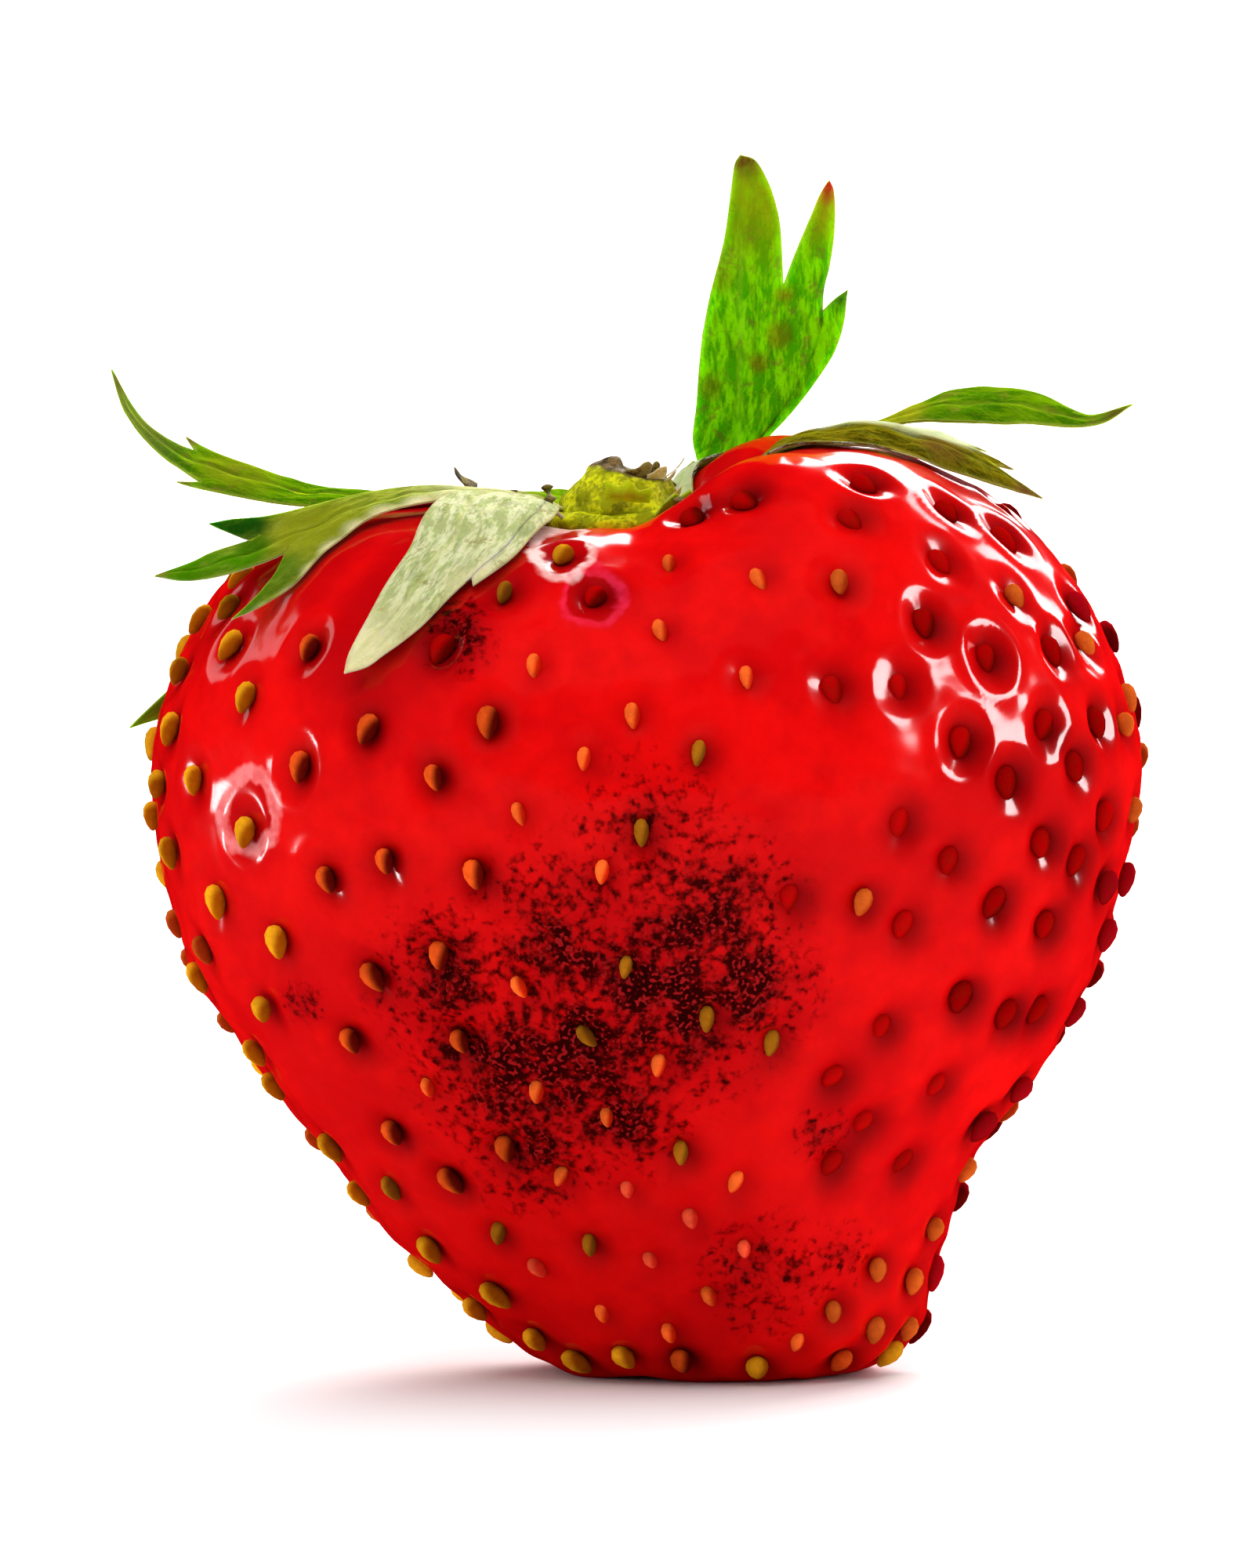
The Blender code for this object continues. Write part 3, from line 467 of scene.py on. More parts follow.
# ---- surfaces ----------------------------------------------------------------------------------
def fruit_surface(turns, levels):
    """The fruit's smooth skin, by the angle round the spine and the level from tip to stalk.

    Across, each quarter of a section is a quarter ellipse between two outlines. Upwards, the left and
    right shoulders blend into the lower saddles at the front and back. Gentle lobes swell the sides.
    """
    cos, sin = np.cos(turns), np.sin(turns)
    right, left = outline(RIGHT_OUTLINE, levels), outline(LEFT_OUTLINE, levels)
    front, back = outline(FRONT_OUTLINE, levels), outline(BACK_OUTLINE, levels)
    spine = through(np.asarray(SPINE, float)[:, None], levels)[..., 0]
    lobes = np.sin(3 * turns + 0.9) + 0.6 * np.sin(5 * turns + 0.45 * levels)
    swell = 1 + SWELL * np.sin(math.pi * levels / LAST_LEVEL) * lobes
    across = np.where(cos > 0, right[..., 0], left[..., 0]) * cos * swell
    deep = np.where(sin > 0, back[..., 0], front[..., 0]) * sin * swell
    to_right = smoothstep(0.0, 0.8, cos)
    to_left = smoothstep(0.3, 0.95, -cos)
    between = np.where(sin > 0, back[..., 1], front[..., 1])
    height = to_right * right[..., 1] + to_left * left[..., 1] + (1 - to_right - to_left) * between
    return np.stack([spine + across, deep, np.maximum(height, 0)], axis=-1)


def skin_frame(turns, levels):
    """A place on the skin with its outward direction and the direction towards the tip, from the
    differences to points a little further round and a little further up."""
    step = 0.01
    here = fruit_surface(turns, levels)
    round_it = fruit_surface(turns + step, levels) - fruit_surface(turns - step, levels)
    upwards = fruit_surface(turns, levels + step) - fruit_surface(turns, levels - step)
    outwards = unit(np.cross(round_it, upwards))
    down = unit(-upwards)
    return here, outwards, down


def ball_cells(cells):
    """Directions and faces of a cube blown up into a ball, with cells x cells squares on each side.

    A lattice point of the cube goes to the direction with the tangents of its evenly spaced angles, so
    the squares come out nearly even. Sides share the points of their edges.
    """
    i, j = np.meshgrid(np.arange(cells + 1), np.arange(cells + 1), indexing="ij")
    i, j = i.ravel(), j.ravel()
    low, high = np.zeros_like(i), np.full_like(i, cells)
    sides = [(i, j, high), (j, i, low), (high, i, j), (low, j, i), (j, high, i), (i, low, j)]
    lattice = np.concatenate([np.stack(side, axis=1) for side in sides])
    key = (lattice[:, 0] * (cells + 1) + lattice[:, 1]) * (cells + 1) + lattice[:, 2]
    _, first, place = np.unique(key, return_index=True, return_inverse=True)
    directions = np.tan((lattice[first] / cells - 0.5) * math.pi / 2)
    corner = (np.arange(cells)[:, None] * (cells + 1) + np.arange(cells)).ravel()
    quad = np.stack([corner, corner + cells + 1, corner + cells + 2, corner + 1], axis=1)
    faces = np.concatenate([place.ravel()[quad + side * (cells + 1) ** 2] for side in range(6)])
    return unit(directions), faces


def vertex_normals(points, faces):
    """Each point's outward direction: the sum of its faces' areas as vectors."""
    area = np.cross(points[faces[:, 2]] - points[faces[:, 0]], points[faces[:, 3]] - points[faces[:, 1]])
    total = np.zeros_like(points)
    for corner in range(4):
        np.add.at(total, faces[:, corner], area)
    return unit(total)


def grid_faces(columns, rows, closed=False):
    """Squares of a grid whose points are numbered column by column; closed joins the last column to
    the first."""
    c = np.arange(columns if closed else columns - 1)[:, None]
    r = np.arange(rows - 1)[None, :]
    after = (c + 1) % columns
    corners = [c * rows + r, after * rows + r, after * rows + r + 1, c * rows + r + 1]
    return np.stack([corner.ravel() for corner in corners], axis=1)


def dense_widths(points):
    """A smooth curve through (distance, half width) points, as a close polyline."""
    return through(points, np.linspace(0, len(points) - 1, 12 * len(points)))


def half_width(leaf, along, across):
    """The blade's half width at a distance along the midrib, on the side where across lies."""
    left, right = dense_widths(leaf["left"]), dense_widths(leaf["right"])
    on_left = np.interp(along, left[:, 0], left[:, 1])
    on_right = np.interp(along, right[:, 0], right[:, 1])
    return np.where(across < 0, on_left, on_right)


def rim_line(rim, places):
    """Reads a rim that is smooth between its corners. The corners are the tips and the notches, where
    the distance along stops growing or shrinking."""
    rim = np.asarray(rim, float)
    growth = np.sign(np.diff(rim[:, 0]))
    corners = [0, *(np.nonzero(np.diff(growth))[0] + 1), len(rim) - 1]
    read = np.zeros((len(places), 2))
    for first, last in zip(corners[:-1], corners[1:]):
        inside = (places >= first) & (places <= last)
        read[inside] = through(rim[first:last + 1], places[inside] - first)
    return read


def blade_surface(leaf, columns, rows):
    """A blade's middle surface, and each point's (distance along, distance across) on it.

    A column keeps its share of the half width from the foot to the rim, and rows share out the
    distance along. Across the path, the blade falls away with the square of the distance.
    """
    places = np.linspace(0, len(leaf["rim"]) - 1, columns)
    rim = rim_line(leaf["rim"], places)
    share = (rim[:, 1] / half_width(leaf, rim[:, 0], rim[:, 1]))[:, None]
    along = rim[:, :1] * np.linspace(0, 1, rows)
    across = share * half_width(leaf, along, share + 0 * along)

    path = np.asarray(leaf["path"], float)
    lengths = np.concatenate([[0], np.cumsum(np.linalg.norm(np.diff(path, axis=0), axis=1))])
    steps = np.interp(along, lengths, np.arange(len(path)))
    tangent = unit(through(path, steps + 0.05) - through(path, steps - 0.05))
    face = through(leaf["faces"], 2 * steps / (len(path) - 1))
    side = unit(np.cross(tangent, face))
    face = np.cross(side, tangent)
    droop = np.where(across < 0, leaf["droop"], leaf.get("droop_right", leaf["droop"]))
    points = through(path, steps) + side * across[..., None] - face * (droop * across**2)[..., None]
    return points.reshape(-1, 3), np.stack([along, across], axis=-1).reshape(-1, 2)


def tube(line, radii, columns):
    """A round tube along a line. Each ring stands square to the line, and its two cross directions
    come from the line's direction and the front, so the rings don't twist."""
    along = unit(np.gradient(line, axis=0))
    first = unit(np.cross(along, np.array([0.0, 1.0, 0.001])))
    second = np.cross(along, first)
    turns = np.linspace(0, 2 * math.pi, columns, endpoint=False)[:, None, None]
    radii = np.asarray(radii, float)[None, :, None]
    ring = np.cos(turns) * first[None] + np.sin(turns) * second[None]
    return (line[None] + ring * radii).reshape(-1, 3)


# ---- meshes ------------------------------------------------------------------------------------
def make_piece(name, points, faces, material, nodes=(), values=None, uv=None):
    """Makes a smooth mesh piece from points in millimetres, rides it on the body and lets it stand for
    CAD nodes. Values are numbers or colours of each point, and uv its places on the material's map."""
    mesh = bpy.data.meshes.new(name)
    faces = faces.tolist() if isinstance(faces, np.ndarray) else faces
    mesh.from_pydata((points * MM).tolist(), [], faces)
    mesh.polygons.foreach_set("use_smooth", np.ones(len(mesh.polygons), bool))
    for label, numbers in (values or {}).items():
        numbers = np.asarray(numbers, np.float32)
        kind, field = ("FLOAT", "value") if numbers.ndim == 1 else ("FLOAT_COLOR", "color")
        mesh.attributes.new(label, kind, "POINT").data.foreach_set(field, numbers.ravel())
    if uv is not None:
        corners = np.zeros(len(mesh.loops), np.int32)
        mesh.loops.foreach_get("vertex_index", corners)
        layer = mesh.uv_layers.new(name="blade")
        layer.data.foreach_set("uv", np.asarray(uv, np.float32)[corners].ravel())
    mesh.materials.append(material)
    mesh.validate()
    mesh.update()
    piece = bpy.data.objects.new(name, mesh)
    bpy.context.scene.collection.objects.link(piece)
    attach(piece, BODY)
    if nodes:
        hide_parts(*nodes)
    return piece


def joined(parts):
    """One list of points and one of faces from many (points, faces)."""
    starts = np.cumsum([0] + [len(points) for points, _ in parts[:-1]])
    faces = [
        [corner + start for corner in face]
        for (_, some), start in zip(parts, starts) for face in some
    ]
    return np.concatenate([points for points, _ in parts]), faces


def ended(columns, rows):
    """Faces of a closed tube of rings with a many-sided face over its first and last ring."""
    faces = grid_faces(columns, rows, closed=True).tolist()
    faces.append([column * rows for column in reversed(range(columns))])
    faces.append([column * rows + rows - 1 for column in range(columns)])
    return faces


# ---- nodes -------------------------------------------------------------------------------------
def put(tree, kind, options=None, **sockets):
    """Adds a node with its own options, and with values or other nodes' outputs on its sockets."""
    made = tree.nodes.new(kind)
    count = len(tree.nodes)
    made.location = (220 * (count % 9), -280 * (count // 9))
    for name, value in (options or {}).items():
        setattr(made, name, value)
    for name, value in sockets.items():
        connect(tree, value, made.inputs[name.replace("_", " ")])
    return made


def connect(tree, value, socket):
    if isinstance(value, bpy.types.NodeSocket):
        tree.links.new(value, socket)
    else:
        if isinstance(value, tuple) and socket.type == "RGBA":
            value = (*value[:3], 1)
        socket.default_value = value


def maths(tree, operation, first, second=0.0):
    made = put(tree, "ShaderNodeMath", {"operation": operation})
    connect(tree, first, made.inputs[0])
    connect(tree, second, made.inputs[1])
    return made.outputs[0]


def plus(tree, first, second):
    return maths(tree, "ADD", first, second)


def minus(tree, first, second):
    return maths(tree, "SUBTRACT", first, second)


def times(tree, first, second):
    return maths(tree, "MULTIPLY", first, second)


def spread(tree, value, low, high, to_low=0.0, to_high=1.0):
    """Smoothly maps the range low to high on to another, and holds it outside."""
    made = put(
        tree, "ShaderNodeMapRange", {"interpolation_type": "SMOOTHSTEP"}, Value=value, From_Min=low,
        From_Max=high, To_Min=to_low, To_Max=to_high,
    )
    return made.outputs["Result"]


def blend_colours(tree, share, first, second):
    made = put(tree, "ShaderNodeMix", {"data_type": "RGBA", "blend_type": "MIX"})
    connect(tree, share, made.inputs[0])
    connect(tree, first, made.inputs[6])
    connect(tree, second, made.inputs[7])
    return made.outputs[2]


def laid_over(tree, colour, shade, mask, strength=1.0):
    """A colour with another laid over it where a mask is 1."""
    return blend_colours(tree, times(tree, mask, strength), colour, shade)


def noise(tree, vector, size, detail=2.0, roughness=0.5):
    """Noise with lumps of about size, in the vector's units."""
    made = put(
        tree, "ShaderNodeTexNoise", Vector=vector, Detail=detail, Roughness=roughness, Scale=1 / size
    )
    return made.outputs["Fac"]


def attribute(tree, name, output="Fac"):
    return put(tree, "ShaderNodeAttribute", {"attribute_name": name}).outputs[output]


def millimetres(tree):
    """Object coordinates in millimetres."""
    place = put(tree, "ShaderNodeTexCoord").outputs["Object"]
    made = put(tree, "ShaderNodeVectorMath", {"operation": "SCALE"}, Scale=1000.0)
    connect(tree, place, made.inputs[0])
    return made.outputs[0]


def effect(name, inputs, outputs, fill):
    """A shader node group with named sockets, built once. fill puts its nodes in."""
    tree = bpy.data.node_groups.get(name)
    if tree:
        return tree
    tree = bpy.data.node_groups.new(name, "ShaderNodeTree")
    for label, kind, value in inputs:
        socket = tree.interface.new_socket(label, in_out="INPUT", socket_type=kind)
        if value is not None:
            socket.default_value = value
    for label, kind in outputs:
        tree.interface.new_socket(label, in_out="OUTPUT", socket_type=kind)
    into, out = tree.nodes.new("NodeGroupInput"), tree.nodes.new("NodeGroupOutput")
    out.location = (2200, 0)
    fill(tree, into.outputs, out.inputs)
    return tree


def fill_mottling(tree, given, result):
    """Two sizes of noise, the second a fifth of the first, mixed and spread to a soft mask."""
    coarse = put(tree, "ShaderNodeTexNoise", Vector=given["Vector"], Detail=2.0)
    fine = put(tree, "ShaderNodeTexNoise", Vector=given["Vector"], Detail=2.0)
    scale = maths(tree, "DIVIDE", 1.0, given["Size"])
    connect(tree, scale, coarse.inputs["Scale"])
    connect(tree, times(tree, scale, 5.0), fine.inputs["Scale"])
    both = plus(tree, times(tree, coarse.outputs["Fac"], 0.65), times(tree, fine.outputs["Fac"], 0.35))
    low = minus(tree, given["Middle"], given["Softness"])
    high = plus(tree, given["Middle"], given["Softness"])
    connect(tree, spread(tree, both, low, high), result["Mask"])


def mottling(tree, vector, size, middle=0.5, softness=0.1):
    group = effect(
        "mottling",
        [("Vector", "NodeSocketVector", None), ("Size", "NodeSocketFloat", 1.0),
         ("Middle", "NodeSocketFloat", 0.5), ("Softness", "NodeSocketFloat", 0.1)],
        [("Mask", "NodeSocketFloat")], fill_mottling,
    )
    made = put(tree, "ShaderNodeGroup", {"node_tree": group}, Vector=vector, Size=size, Middle=middle,
               Softness=softness)
    return made.outputs["Mask"]


def fill_grain(tree, given, result):
    """Fine cells and finer noise, added as a height from 0 to 1."""
    scale = maths(tree, "DIVIDE", 1.0, given["Size"])
    cells = put(tree, "ShaderNodeTexVoronoi", {"feature": "SMOOTH_F1"}, Vector=given["Vector"], Scale=scale)
    grit = put(tree, "ShaderNodeTexNoise", Vector=given["Vector"], Detail=3.0)
    connect(tree, times(tree, scale, 0.4), grit.inputs["Scale"])
    height = plus(tree, times(tree, cells.outputs["Distance"], 0.5), times(tree, grit.outputs["Fac"], 0.5))
    connect(tree, height, result["Height"])


def grain(tree, vector, size):
    group = effect(
        "skin_grain", [("Vector", "NodeSocketVector", None), ("Size", "NodeSocketFloat", 0.2)],
        [("Height", "NodeSocketFloat")], fill_grain,
    )
    made = put(tree, "ShaderNodeGroup", {"node_tree": group}, Vector=vector, Size=size)
    return made.outputs["Height"]


def fill_veins(tree, given, result):
    """A wandering midrib where across is 0, slanting side veins a spacing apart, and a fine net of
    cells."""
    parts = put(tree, "ShaderNodeSeparateXYZ", Vector=given["Vector"]).outputs
    wander = put(tree, "ShaderNodeTexNoise", Vector=given["Vector"], Scale=0.9, Detail=2.0).outputs["Fac"]
    across = plus(tree, parts["Y"], times(tree, minus(tree, wander, 0.5), 0.5))
    away = maths(tree, "ABSOLUTE", across)
    midrib = spread(tree, away, 0.05, 0.22, 1.0, 0.0)
    slant = minus(tree, parts["X"], times(tree, away, 1.5))
    slant = plus(tree, slant, times(tree, wander, 1.2))
    step = maths(tree, "FRACT", maths(tree, "DIVIDE", slant, given["Spacing"]))
    line = maths(tree, "ABSOLUTE", minus(tree, step, 0.5))
    side = times(tree, spread(tree, line, 0.0, 0.09, 1.0, 0.0), 0.6)
    net = put(
        tree, "ShaderNodeTexVoronoi", {"feature": "DISTANCE_TO_EDGE"}, Vector=given["Vector"], Scale=2.6
    )
    mesh = times(tree, spread(tree, net.outputs["Distance"], 0.0, 0.10, 1.0, 0.0), 0.4)
    lines = maths(tree, "MAXIMUM", midrib, maths(tree, "MAXIMUM", side, mesh))
    connect(tree, lines, result["Mask"])


def veins(tree, vector, spacing):
    group = effect(
        "leaf_veins", [("Vector", "NodeSocketVector", None), ("Spacing", "NodeSocketFloat", 1.6)],
        [("Mask", "NodeSocketFloat")], fill_veins,
    )
    made = put(tree, "ShaderNodeGroup", {"node_tree": group}, Vector=vector, Spacing=spacing)
    return made.outputs["Mask"]


def new_material(name, **constants):
    """A material with its Principled shader, with constants set on the shader's own sockets."""
    made = bpy.data.materials.new(name)
    made.use_nodes = True
    tree = made.node_tree
    shader = tree.nodes["Principled BSDF"]
    shader.location = (2200, 0)
    tree.nodes["Material Output"].location = (2500, 0)
    for label, value in constants.items():
        connect(tree, value, shader.inputs[label.replace("_", " ")])
    return made, tree, shader


def bump(tree, height, distance, strength=1.0, under=None):
    made = put(tree, "ShaderNodeBump", Height=height, Distance=distance * MM, Strength=strength)
    if under:
        connect(tree, under, made.inputs["Normal"])
    return made.outputs["Normal"]


# ---- materials ---------------------------------------------------------------------------------
def highlight_ring_mask(tree, across, up, wobble, middle, inner, outer, aside, narrow):
    """The mask of a painted highlight ring on the front, between an outer circle and an inner one that
    stands a little aside, both made narrower and uneven, and the inside of it."""
    def away(from_across):
        sideways = times(tree, minus(tree, across, from_across), narrow)
        square = times(tree, sideways, sideways)
        return plus(tree, maths(tree, "SQRT", plus(tree, square, up_square)), wobble)

    up_square = maths(tree, "POWER", minus(tree, up, middle[1]), 2.0)
    inside = spread(tree, away(middle[0]), outer - 0.20, outer + 0.08, 1.0, 0.0)
    hole = spread(tree, away(middle[0] + aside), inner - 0.10, inner + 0.10)
    return times(tree, inside, hole), minus(tree, 1.0, hole)


def with_painted_rings(tree, colour, place):
    """The painted highlight rings, with painted shade in their hollows, laid over a colour. They are
    round as the camera sees them, so they are drawn by the sideways place and by the height as seen from
    a little above the front."""
    parts = put(tree, "ShaderNodeSeparateXYZ", Vector=place).outputs
    seen_up = plus(
        tree, times(tree, parts["Z"], math.cos(VIEW_TILT)), times(tree, parts["Y"], math.sin(VIEW_TILT))
    )
    front = spread(tree, parts["Y"], -2.0, 0.0, 1.0, 0.0)
    broken = spread(tree, noise(tree, place, 0.6), 0.35, 0.6, 0.55, 1.0)
    wobble = spread(tree, noise(tree, place, 1.1), 0.3, 0.7, -0.16, 0.16)
    for middle, inner, outer, aside, narrow, strength, shade in PAINTED_RING_HIGHLIGHTS:
        ring, inside = highlight_ring_mask(tree, parts["X"], seen_up, wobble, middle, inner, outer, aside, narrow)
        # Painted shade in the ring's hollow.
        colour = laid_over(tree, colour, RING_HOLLOW_SHADE, times(tree, inside, front), 0.35)
        # Painted highlight: the pale ring itself.
        ring = times(tree, times(tree, ring, front), broken)
        colour = laid_over(tree, colour, shade, ring, strength)
    return colour


def with_shade_patch(tree, colour, place):
    """Painted shade on the front, laid over a colour: a deep red painted shade in clumps, dark specks that
    lie closer where the shade is deeper, and fine painted glints between them. Also gives the mask of the
    specks."""
    shade_patch = attribute(tree, "shade_patch")
    clumps = spread(tree, noise(tree, place, 1.4), 0.35, 0.6, 0.58, 1.0)
    shade = times(tree, shade_patch, clumps)
    colour = laid_over(tree, colour, SHADE_PATCH_RED, shade, 0.9)
    crumbs = noise(tree, place, 0.38, detail=2.5, roughness=0.6)
    specks = spread(tree, plus(tree, times(tree, shade, 0.41), crumbs), 0.56, 0.84)
    specks = times(tree, specks, spread(tree, shade_patch, 0.03, 0.2))
    colour = laid_over(tree, colour, SHADE_SPECK, specks, 0.94)
    glints = spread(tree, noise(tree, place, 0.16, detail=0.0), 0.56, 0.68)
    glints = times(tree, glints, spread(tree, shade, 0.3, 0.8))
    return laid_over(tree, colour, GLINT, glints, 0.55), specks


def flesh_material(look):
    """Glossy red flesh: broad and fine mottling, a deeper red towards the tip on the left, painted shade
    by the leaves and in the pits, a paler neck round the stalk, painted highlight rings and a painted shade
    patch with dark specks and painted glints."""
    made, tree, shader = new_material(
        "strawberry_flesh", Subsurface_Weight=0.30, Subsurface_Scale=0.0012,
        Subsurface_Radius=(1.0, 0.05, 0.03), Coat_Weight=look.coat, Coat_Roughness=0.13,
        Specular_IOR_Level=0.0,
    )
    place = millimetres(tree)
    parts = put(tree, "ShaderNodeSeparateXYZ", Vector=place).outputs
    colour = blend_colours(tree, mottling(tree, place, 6.0), tuple(look.deep), tuple(look.bright))
    colour = laid_over(tree, colour, FINE_RED, mottling(tree, place, 0.7, softness=0.16), 0.10)
    # Darker red towards the tip, on the left half only.
    left_half = spread(tree, parts["X"], 0.0, 6.0, 1.0, 0.0)
    low = spread(tree, parts["Z"], 4.0, 20.0, look.tip_darkening, 0.0)
    colour = laid_over(tree, colour, TIP_RED, times(tree, low, left_half))
    # Painted shade: a deeper red laid on the flesh near the leaves.
    colour = laid_over(tree, colour, LEAF_SHADE_RED, attribute(tree, "leaf_shade"), 0.55)
    colour = laid_over(tree, colour, NECK_PINK, attribute(tree, "neck"), 0.5)
    # Painted shade in the pits: darker to the lower right of each seed, where the pit is in its own shade.
    colour = laid_over(tree, colour, tuple(look.pit), attribute(tree, "pit"))
    # Painted highlight rings round three pits on the front.
    colour = with_painted_rings(tree, colour, place)
    # Painted shade patch on the front, with dark specks and painted glints.
    colour, specks = with_shade_patch(tree, colour, place)
    connect(tree, colour, shader.inputs["Base Color"])
    rough = plus(tree, 0.24, times(tree, mottling(tree, place, 1.6, softness=0.2), 0.10))
    connect(tree, plus(tree, rough, times(tree, specks, 0.2)), shader.inputs["Roughness"])
    broad, narrow = times(tree, noise(tree, place, 1.3), 0.8), times(tree, noise(tree, place, 0.55), 0.5)
    height = plus(tree, grain(tree, place, 0.28), plus(tree, broad, narrow))
    connect(tree, bump(tree, height, 0.045), shader.inputs["Normal"])
    return made


def seed_material():
    """Seed coats with painted light and shade: each seed's lit colour and its shaded colour, laid by the
    share of the way to its shaded side, with fine darker spots."""
    made, tree, shader = new_material("seed_coat", Specular_IOR_Level=0.0)
    place = millimetres(tree)
    lit, shaded = attribute(tree, "lit_colour", "Color"), attribute(tree, "shaded_colour", "Color")
    side = spread(tree, attribute(tree, "shaded_side"), -0.15, 0.55)
    colour = blend_colours(tree, side, lit, shaded)
    spots = mottling(tree, place, 0.35, softness=0.14)
    colour = laid_over(tree, colour, (0.12, 0.010, 0.001), spots, 0.25)
    connect(tree, colour, shader.inputs["Base Color"])
    connect(tree, spread(tree, spots, 0.0, 1.0, 0.34, 0.5), shader.inputs["Roughness"])
    connect(tree, bump(tree, grain(tree, place, 0.12), 0.03), shader.inputs["Normal"])
    return made


def leaf_material(name, look, colours):
    """A thin leaf: mottled greens above, a paler underside, veins, a dry rim and the tinted patches."""
    upper, lighter, under, _ = colours
    made, tree, shader = new_material(
        name, Subsurface_Weight=look.glow, Subsurface_Scale=0.0006, Subsurface_Radius=(0.55, 1.0, 0.12),
        Specular_IOR_Level=0.0,
    )
    place = millimetres(tree)
    flat = put(tree, "ShaderNodeUVMap", {"uv_map": "blade"}).outputs["UV"]
    scaled = put(tree, "ShaderNodeVectorMath", {"operation": "SCALE"}, Scale=BLADE_UNIT)
    connect(tree, flat, scaled.inputs[0])
    blade = scaled.outputs[0]
    stretched = put(tree, "ShaderNodeMapping", Vector=blade, Scale=(0.45, 1.6, 1.0)).outputs["Vector"]
    colour = blend_colours(tree, mottling(tree, stretched, 0.9, softness=0.07), upper, lighter)
    flecks = spread(tree, noise(tree, stretched, 0.55, detail=3.0), 0.52, 0.66)
    darker = blend_colours(tree, 0.55, upper, (0.01, 0.05, 0.004))
    colour = laid_over(tree, colour, darker, flecks, 0.45)
    lines = veins(tree, blade, 1.7)
    light_lines = blend_colours(tree, 0.5, lighter, (0.45, 0.52, 0.03))
    colour = laid_over(tree, colour, light_lines, lines, 0.35)
    rust = mottling(tree, place, 0.8, middle=0.60, softness=0.04)
    colour = laid_over(tree, colour, (0.20, 0.13, 0.02), rust, 0.45)
    edge = spread(tree, attribute(tree, "rim_distance"), 0.02, 0.16, 1.0, 0.0)
    colour = laid_over(tree, colour, (0.32, 0.28, 0.05), edge, 0.45)
    patchy = spread(tree, noise(tree, place, 0.7), 0.2, 0.6, 0.65, 1.0)
    share = times(tree, attribute(tree, "tint", "Alpha"), patchy)
    colour = laid_over(tree, colour, attribute(tree, "tint", "Color"), share)
    below = blend_colours(tree, times(tree, lines, 0.4), under, lighter)
    colour = laid_over(tree, colour, below, attribute(tree, "underside"))
    connect(tree, colour, shader.inputs["Base Color"])
    connect(tree, spread(tree, flecks, 0.0, 1.0, 0.42, 0.58), shader.inputs["Roughness"])
    height = minus(tree, times(tree, grain(tree, place, 0.22), 0.6), times(tree, lines, 0.8))
    connect(tree, bump(tree, height, 0.06), shader.inputs["Normal"])
    return made


def stalk_material():
    """Lumpy olive and lime stalk that dries to dark brown at its torn top."""
    made, tree, shader = new_material(
        "stalk_skin", Subsurface_Weight=0.15, Subsurface_Scale=0.0006, Subsurface_Radius=(0.6, 1.0, 0.1),
        Specular_IOR_Level=0.05, Roughness=0.55,
    )
    place = millimetres(tree)
    patches = mottling(tree, place, 0.9, softness=0.06)
    colour = blend_colours(tree, patches, (0.30, 0.32, 0.003), (0.72, 0.72, 0.008))
    spots = mottling(tree, place, 0.45, middle=0.56, softness=0.05)
    colour = laid_over(tree, colour, (0.06, 0.075, 0.004), spots, 0.6)
    ragged = plus(tree, attribute(tree, "dry"), times(tree, noise(tree, place, 0.5), 0.5))
    bark = blend_colours(tree, mottling(tree, place, 0.35), (0.035, 0.022, 0.008), (0.22, 0.14, 0.05))
    colour = laid_over(tree, colour, bark, spread(tree, ragged, 0.6, 0.9))
    connect(tree, colour, shader.inputs["Base Color"])
    connect(tree, bump(tree, grain(tree, place, 0.3), 0.12), shader.inputs["Normal"])
    return made


def fibre_material():
    """Torn, dried fibres: brown ones and pale straw ones, streaked."""
    made, tree, shader = new_material(
        "dry_fibre", Subsurface_Weight=0.2, Subsurface_Scale=0.0004, Subsurface_Radius=(1.0, 0.8, 0.5),
        Specular_IOR_Level=0.05,
    )
    place = millimetres(tree)
    dark = blend_colours(tree, mottling(tree, place, 0.4), (0.05, 0.03, 0.010), (0.20, 0.15, 0.04))
    pale = blend_colours(tree, mottling(tree, place, 0.5), (0.62, 0.47, 0.20), (0.80, 0.76, 0.55))
    colour = blend_colours(tree, attribute(tree, "pale"), dark, pale)
    connect(tree, colour, shader.inputs["Base Color"])
    connect(tree, spread(tree, noise(tree, place, 0.2), 0.3, 0.7, 0.5, 0.75), shader.inputs["Roughness"])
    connect(tree, bump(tree, grain(tree, place, 0.15), 0.05), shader.inputs["Normal"])
    return made


def floor_material(look):
    """Pale, matt studio floor with a very faint unevenness."""
    made, tree, shader = new_material("studio_floor", Specular_IOR_Level=0.1)
    place = millimetres(tree)
    pale = tuple(look.floor)
    dimmer = tuple(0.985 * part for part in pale)
    colour = blend_colours(tree, mottling(tree, place, 90.0, softness=0.3), pale, dimmer)
    connect(tree, colour, shader.inputs["Base Color"])
    connect(tree, spread(tree, noise(tree, place, 40.0), 0.3, 0.7, 0.75, 0.85), shader.inputs["Roughness"])
    return made


# ---- the seeds' places -------------------------------------------------------------------------
def on_front(spots):
    """Turn and level of the places on the front that are seen at (sideways, height): the nearest
    points of a close grid over the skin's front-facing part."""
    lowest, highest, cells = 1.6, 14.2, 300
    turn, level = np.meshgrid(
        np.linspace(math.pi, 2 * math.pi, cells), np.linspace(lowest, highest, cells)
    )
    turn, level = turn.ravel(), level.ravel()
    points, outwards, _ = skin_frame(turn, level)
    seen = outwards[:, 1] < 0.05
    turn, level, flat = turn[seen], level[seen], points[seen][:, [0, 2]]
    spots = np.asarray(spots, float)
    nearest = np.argmin(((spots[:, None] - flat[None]) ** 2).sum(axis=2), axis=1)
    return turn[nearest], level[nearest]


